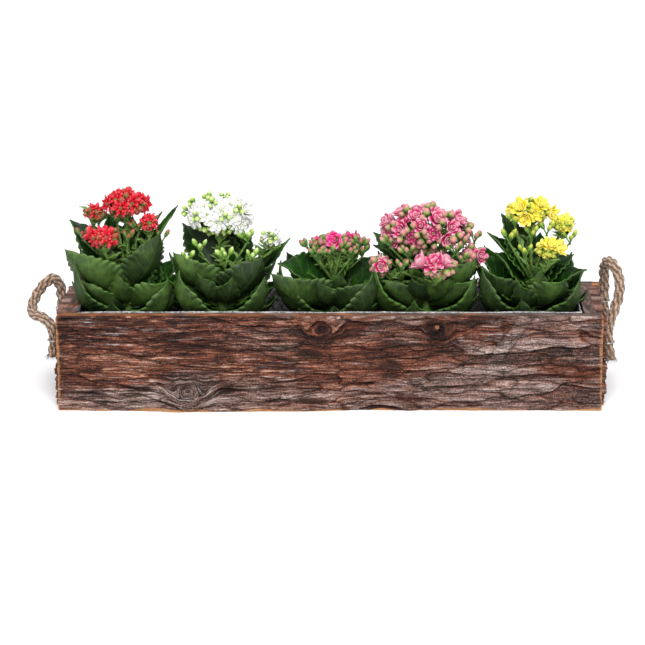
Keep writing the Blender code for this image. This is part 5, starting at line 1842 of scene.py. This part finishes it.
def bud_on_stalk(root, out, stalk_length, stalk_radius, size, angle, roundness=1.0):
    """A bud, its calyx and its short stalk, which is as green as the calyx."""
    calyx_at = root + out * (stalk_length - 0.001)
    calyx = standing(calyx_blank, calyx_at, out, 0.0021 * size, 0.0018, angle)
    bud = standing(bud_blank, root + out * stalk_length, out, BUD_RADIUS * size * roundness,
                   BUD_LENGTH * size / roundness, angle)
    pedicel = sweep("pedicel", [root, calyx_at], [stalk_radius, stalk_radius], 5)
    store(pedicel.data, "bud_height", np.zeros(len(pedicel.data.vertices)))
    return [calyx, bud, pedicel]


def bud_spray(top, count, draw):
    """A loose spray of buds at the end of a stalk."""
    pieces = []
    for index in range(count):
        lean = math.radians(14 + 34 * math.sqrt((index + 0.5) / count))
        angle = index * GOLDEN_ANGLE + draw.uniform(-0.3, 0.3)
        out = Vector((math.sin(lean) * math.cos(angle), math.sin(lean) * math.sin(angle), math.cos(lean)))
        size = draw.uniform(0.85, 1.15)
        pieces += bud_on_stalk(top - out * 0.002, out, PEDICEL_LENGTH, 0.0008, size, angle)
    return pieces


def bud_cluster(place, out, count, bud_size, draw):
    """A tight cluster of round buds in a gap between florets."""
    pieces = []
    side = out.orthogonal().normalized()
    for bud in range(count):
        angle = 2 * math.pi * bud / count + draw.uniform(-0.5, 0.5)
        lean = side * math.cos(angle) + out.cross(side) * math.sin(angle)
        way = (out + lean * 0.55).normalized()
        size = bud_size * draw.uniform(0.85, 1.15)
        pieces += bud_on_stalk(place - out * CLUSTER_DEPTH, way, 0.0048, 0.0006, size, angle, 1.22)
    return pieces


def grow_buds(name, x, plan, in_cluster, bud_size):
    """Buds of the sprays and of the heads, and the calyx under each floret, as one piece."""
    draw = random.Random(plan["seed"])
    pieces = []
    for base, count in plan["buds"]:
        pieces += bud_spray(spot_at(x, base), count, draw)
    for index, head in enumerate(plan["heads"], start=1):
        for place, out, _, depth, spin in head_places(x, head, plan["seed"] * 10 + index):
            calyx_at = place - out * (depth / 2 + CALYX_DEPTH)
            pieces.append(standing(calyx_blank, calyx_at, out, 0.0019, 0.0028, spin))
        for place, out in plan["gaps"][index]:
            pieces += bud_cluster(place, out, in_cluster, bud_size, draw)
    return joined(name, pieces)


# %% [markdown]
# The plants differ in how far their florets are open: the pink one mostly half open, the yellow
# one nearly by half, the deep pink one a third shut, and the red and white ones nearly all open.
# The first floret of a head, at its top, is always open.

# %% Grow the heads
# For each plant: the shares of florets that are shut and half open, their size, bud clusters for
# each floret on the head and under it, buds in a cluster, and the size of a bud.
TRAITS = ("shut", "half", "floret_size", "clusters_on_top", "clusters_below", "in_cluster", "bud_size")
KINDS = {name: dict(zip(TRAITS, values)) for name, values in {
    "red": (0.02, 0.08, 1.28, 0.2, 1.2, 2, 0.85), "white": (0.0, 0.10, 1.18, 0.45, 0.9, 3, 0.88),
    "magenta": (0.34, 0.26, 1.45, 0.6, 1.3, 2, 1.20), "pink": (0.04, 0.66, 1.42, 0.6, 0.7, 2, 1.20),
    "yellow": (0.0, 0.45, 1.25, 0.6, 1.0, 3, 0.85),
}.items()}
WIDTH_OF = {"shut": 0.9, "half": 1.28, "open": 1.0, "star": 1.0}


def grow_head(name, x, head, seed, traits, when_open):
    """One flower head: its florets, each at its place."""
    draw = random.Random(seed + 500)
    florets = []
    for index, (place, out, diameter, depth, spin) in enumerate(head_places(x, head, seed)):
        share = draw.random() if index else 1.0
        turn = spin + draw.uniform(0, 3)
        if share < traits["shut"]:
            kind = "shut"
        else:
            kind = "half" if share < traits["shut"] + traits["half"] else when_open
        template = florets_of[kind][0] if kind == "shut" else draw.choice(florets_of[kind])
        radius = diameter / 2 * traits["floret_size"] * WIDTH_OF[kind]
        florets.append(standing(template, place - out * (depth / 2 + 0.002), out, radius, radius, turn))
    return joined(name, florets)


# %% [markdown]
# With shapes, rules and finishes ready, the five plants are grown one after another. Leaves, stalks
# and buds are a piece each, and every head of florets is a piece that stands for one bloom node.

# %% Grow the plants
for seed, (name, plan) in enumerate(PLANTS.items(), start=1):
    traits = KINDS[name]
    x = plan["x"] * MM
    plan["seed"] = seed
    plan["buds"] = plan["buds"] + MORE_BUDS[name]
    plan["gaps"] = {}
    for index, head in enumerate(plan["heads"], start=1):
        on_top, below = (round(head[2] * traits[key]) for key in ("clusters_on_top", "clusters_below"))
        plan["gaps"][index] = (gap_places(x, head, seed * 10 + index, on_top, 1.0, -0.2)
                               + gap_places(x, head, seed * 10 + index, below, -0.1, -0.9))
    leaves = grow_leaves(name, x, plan["leaves"], seed)
    belongs(leaves, "leaf", f"{name}_plant")
    stalks = grow_stalks(f"{name}_stalks", x, plan)
    paint(stalks, stem_skin)
    belongs(stalks, "leaf")
    buds = grow_buds(f"{name}_buds", x, plan, traits["in_cluster"], traits["bud_size"])
    paint(buds, bud_skins[name])
    belongs(buds, "leaf")
    when_open = "star" if name == "red" else "open"
    for index, head in enumerate(plan["heads"], start=1):
        bloom = grow_head(f"{name}_florets_{index}", x, head, seed * 10 + index, traits, when_open)
        paint(bloom, petal_skins[name])
        belongs(bloom, f"{name}_petals", f"{name}_bloom_{index}")

# %% [markdown]
# The blanks that were only copied are removed.

# %% Finish
blanks = [pot_blank, soil_blank, grain_blank, leaf_blank[0], bract_blank[0], bud_blank, calyx_blank]
for blank in blanks + sum(florets_of.values(), []):
    bpy.data.objects.remove(blank)
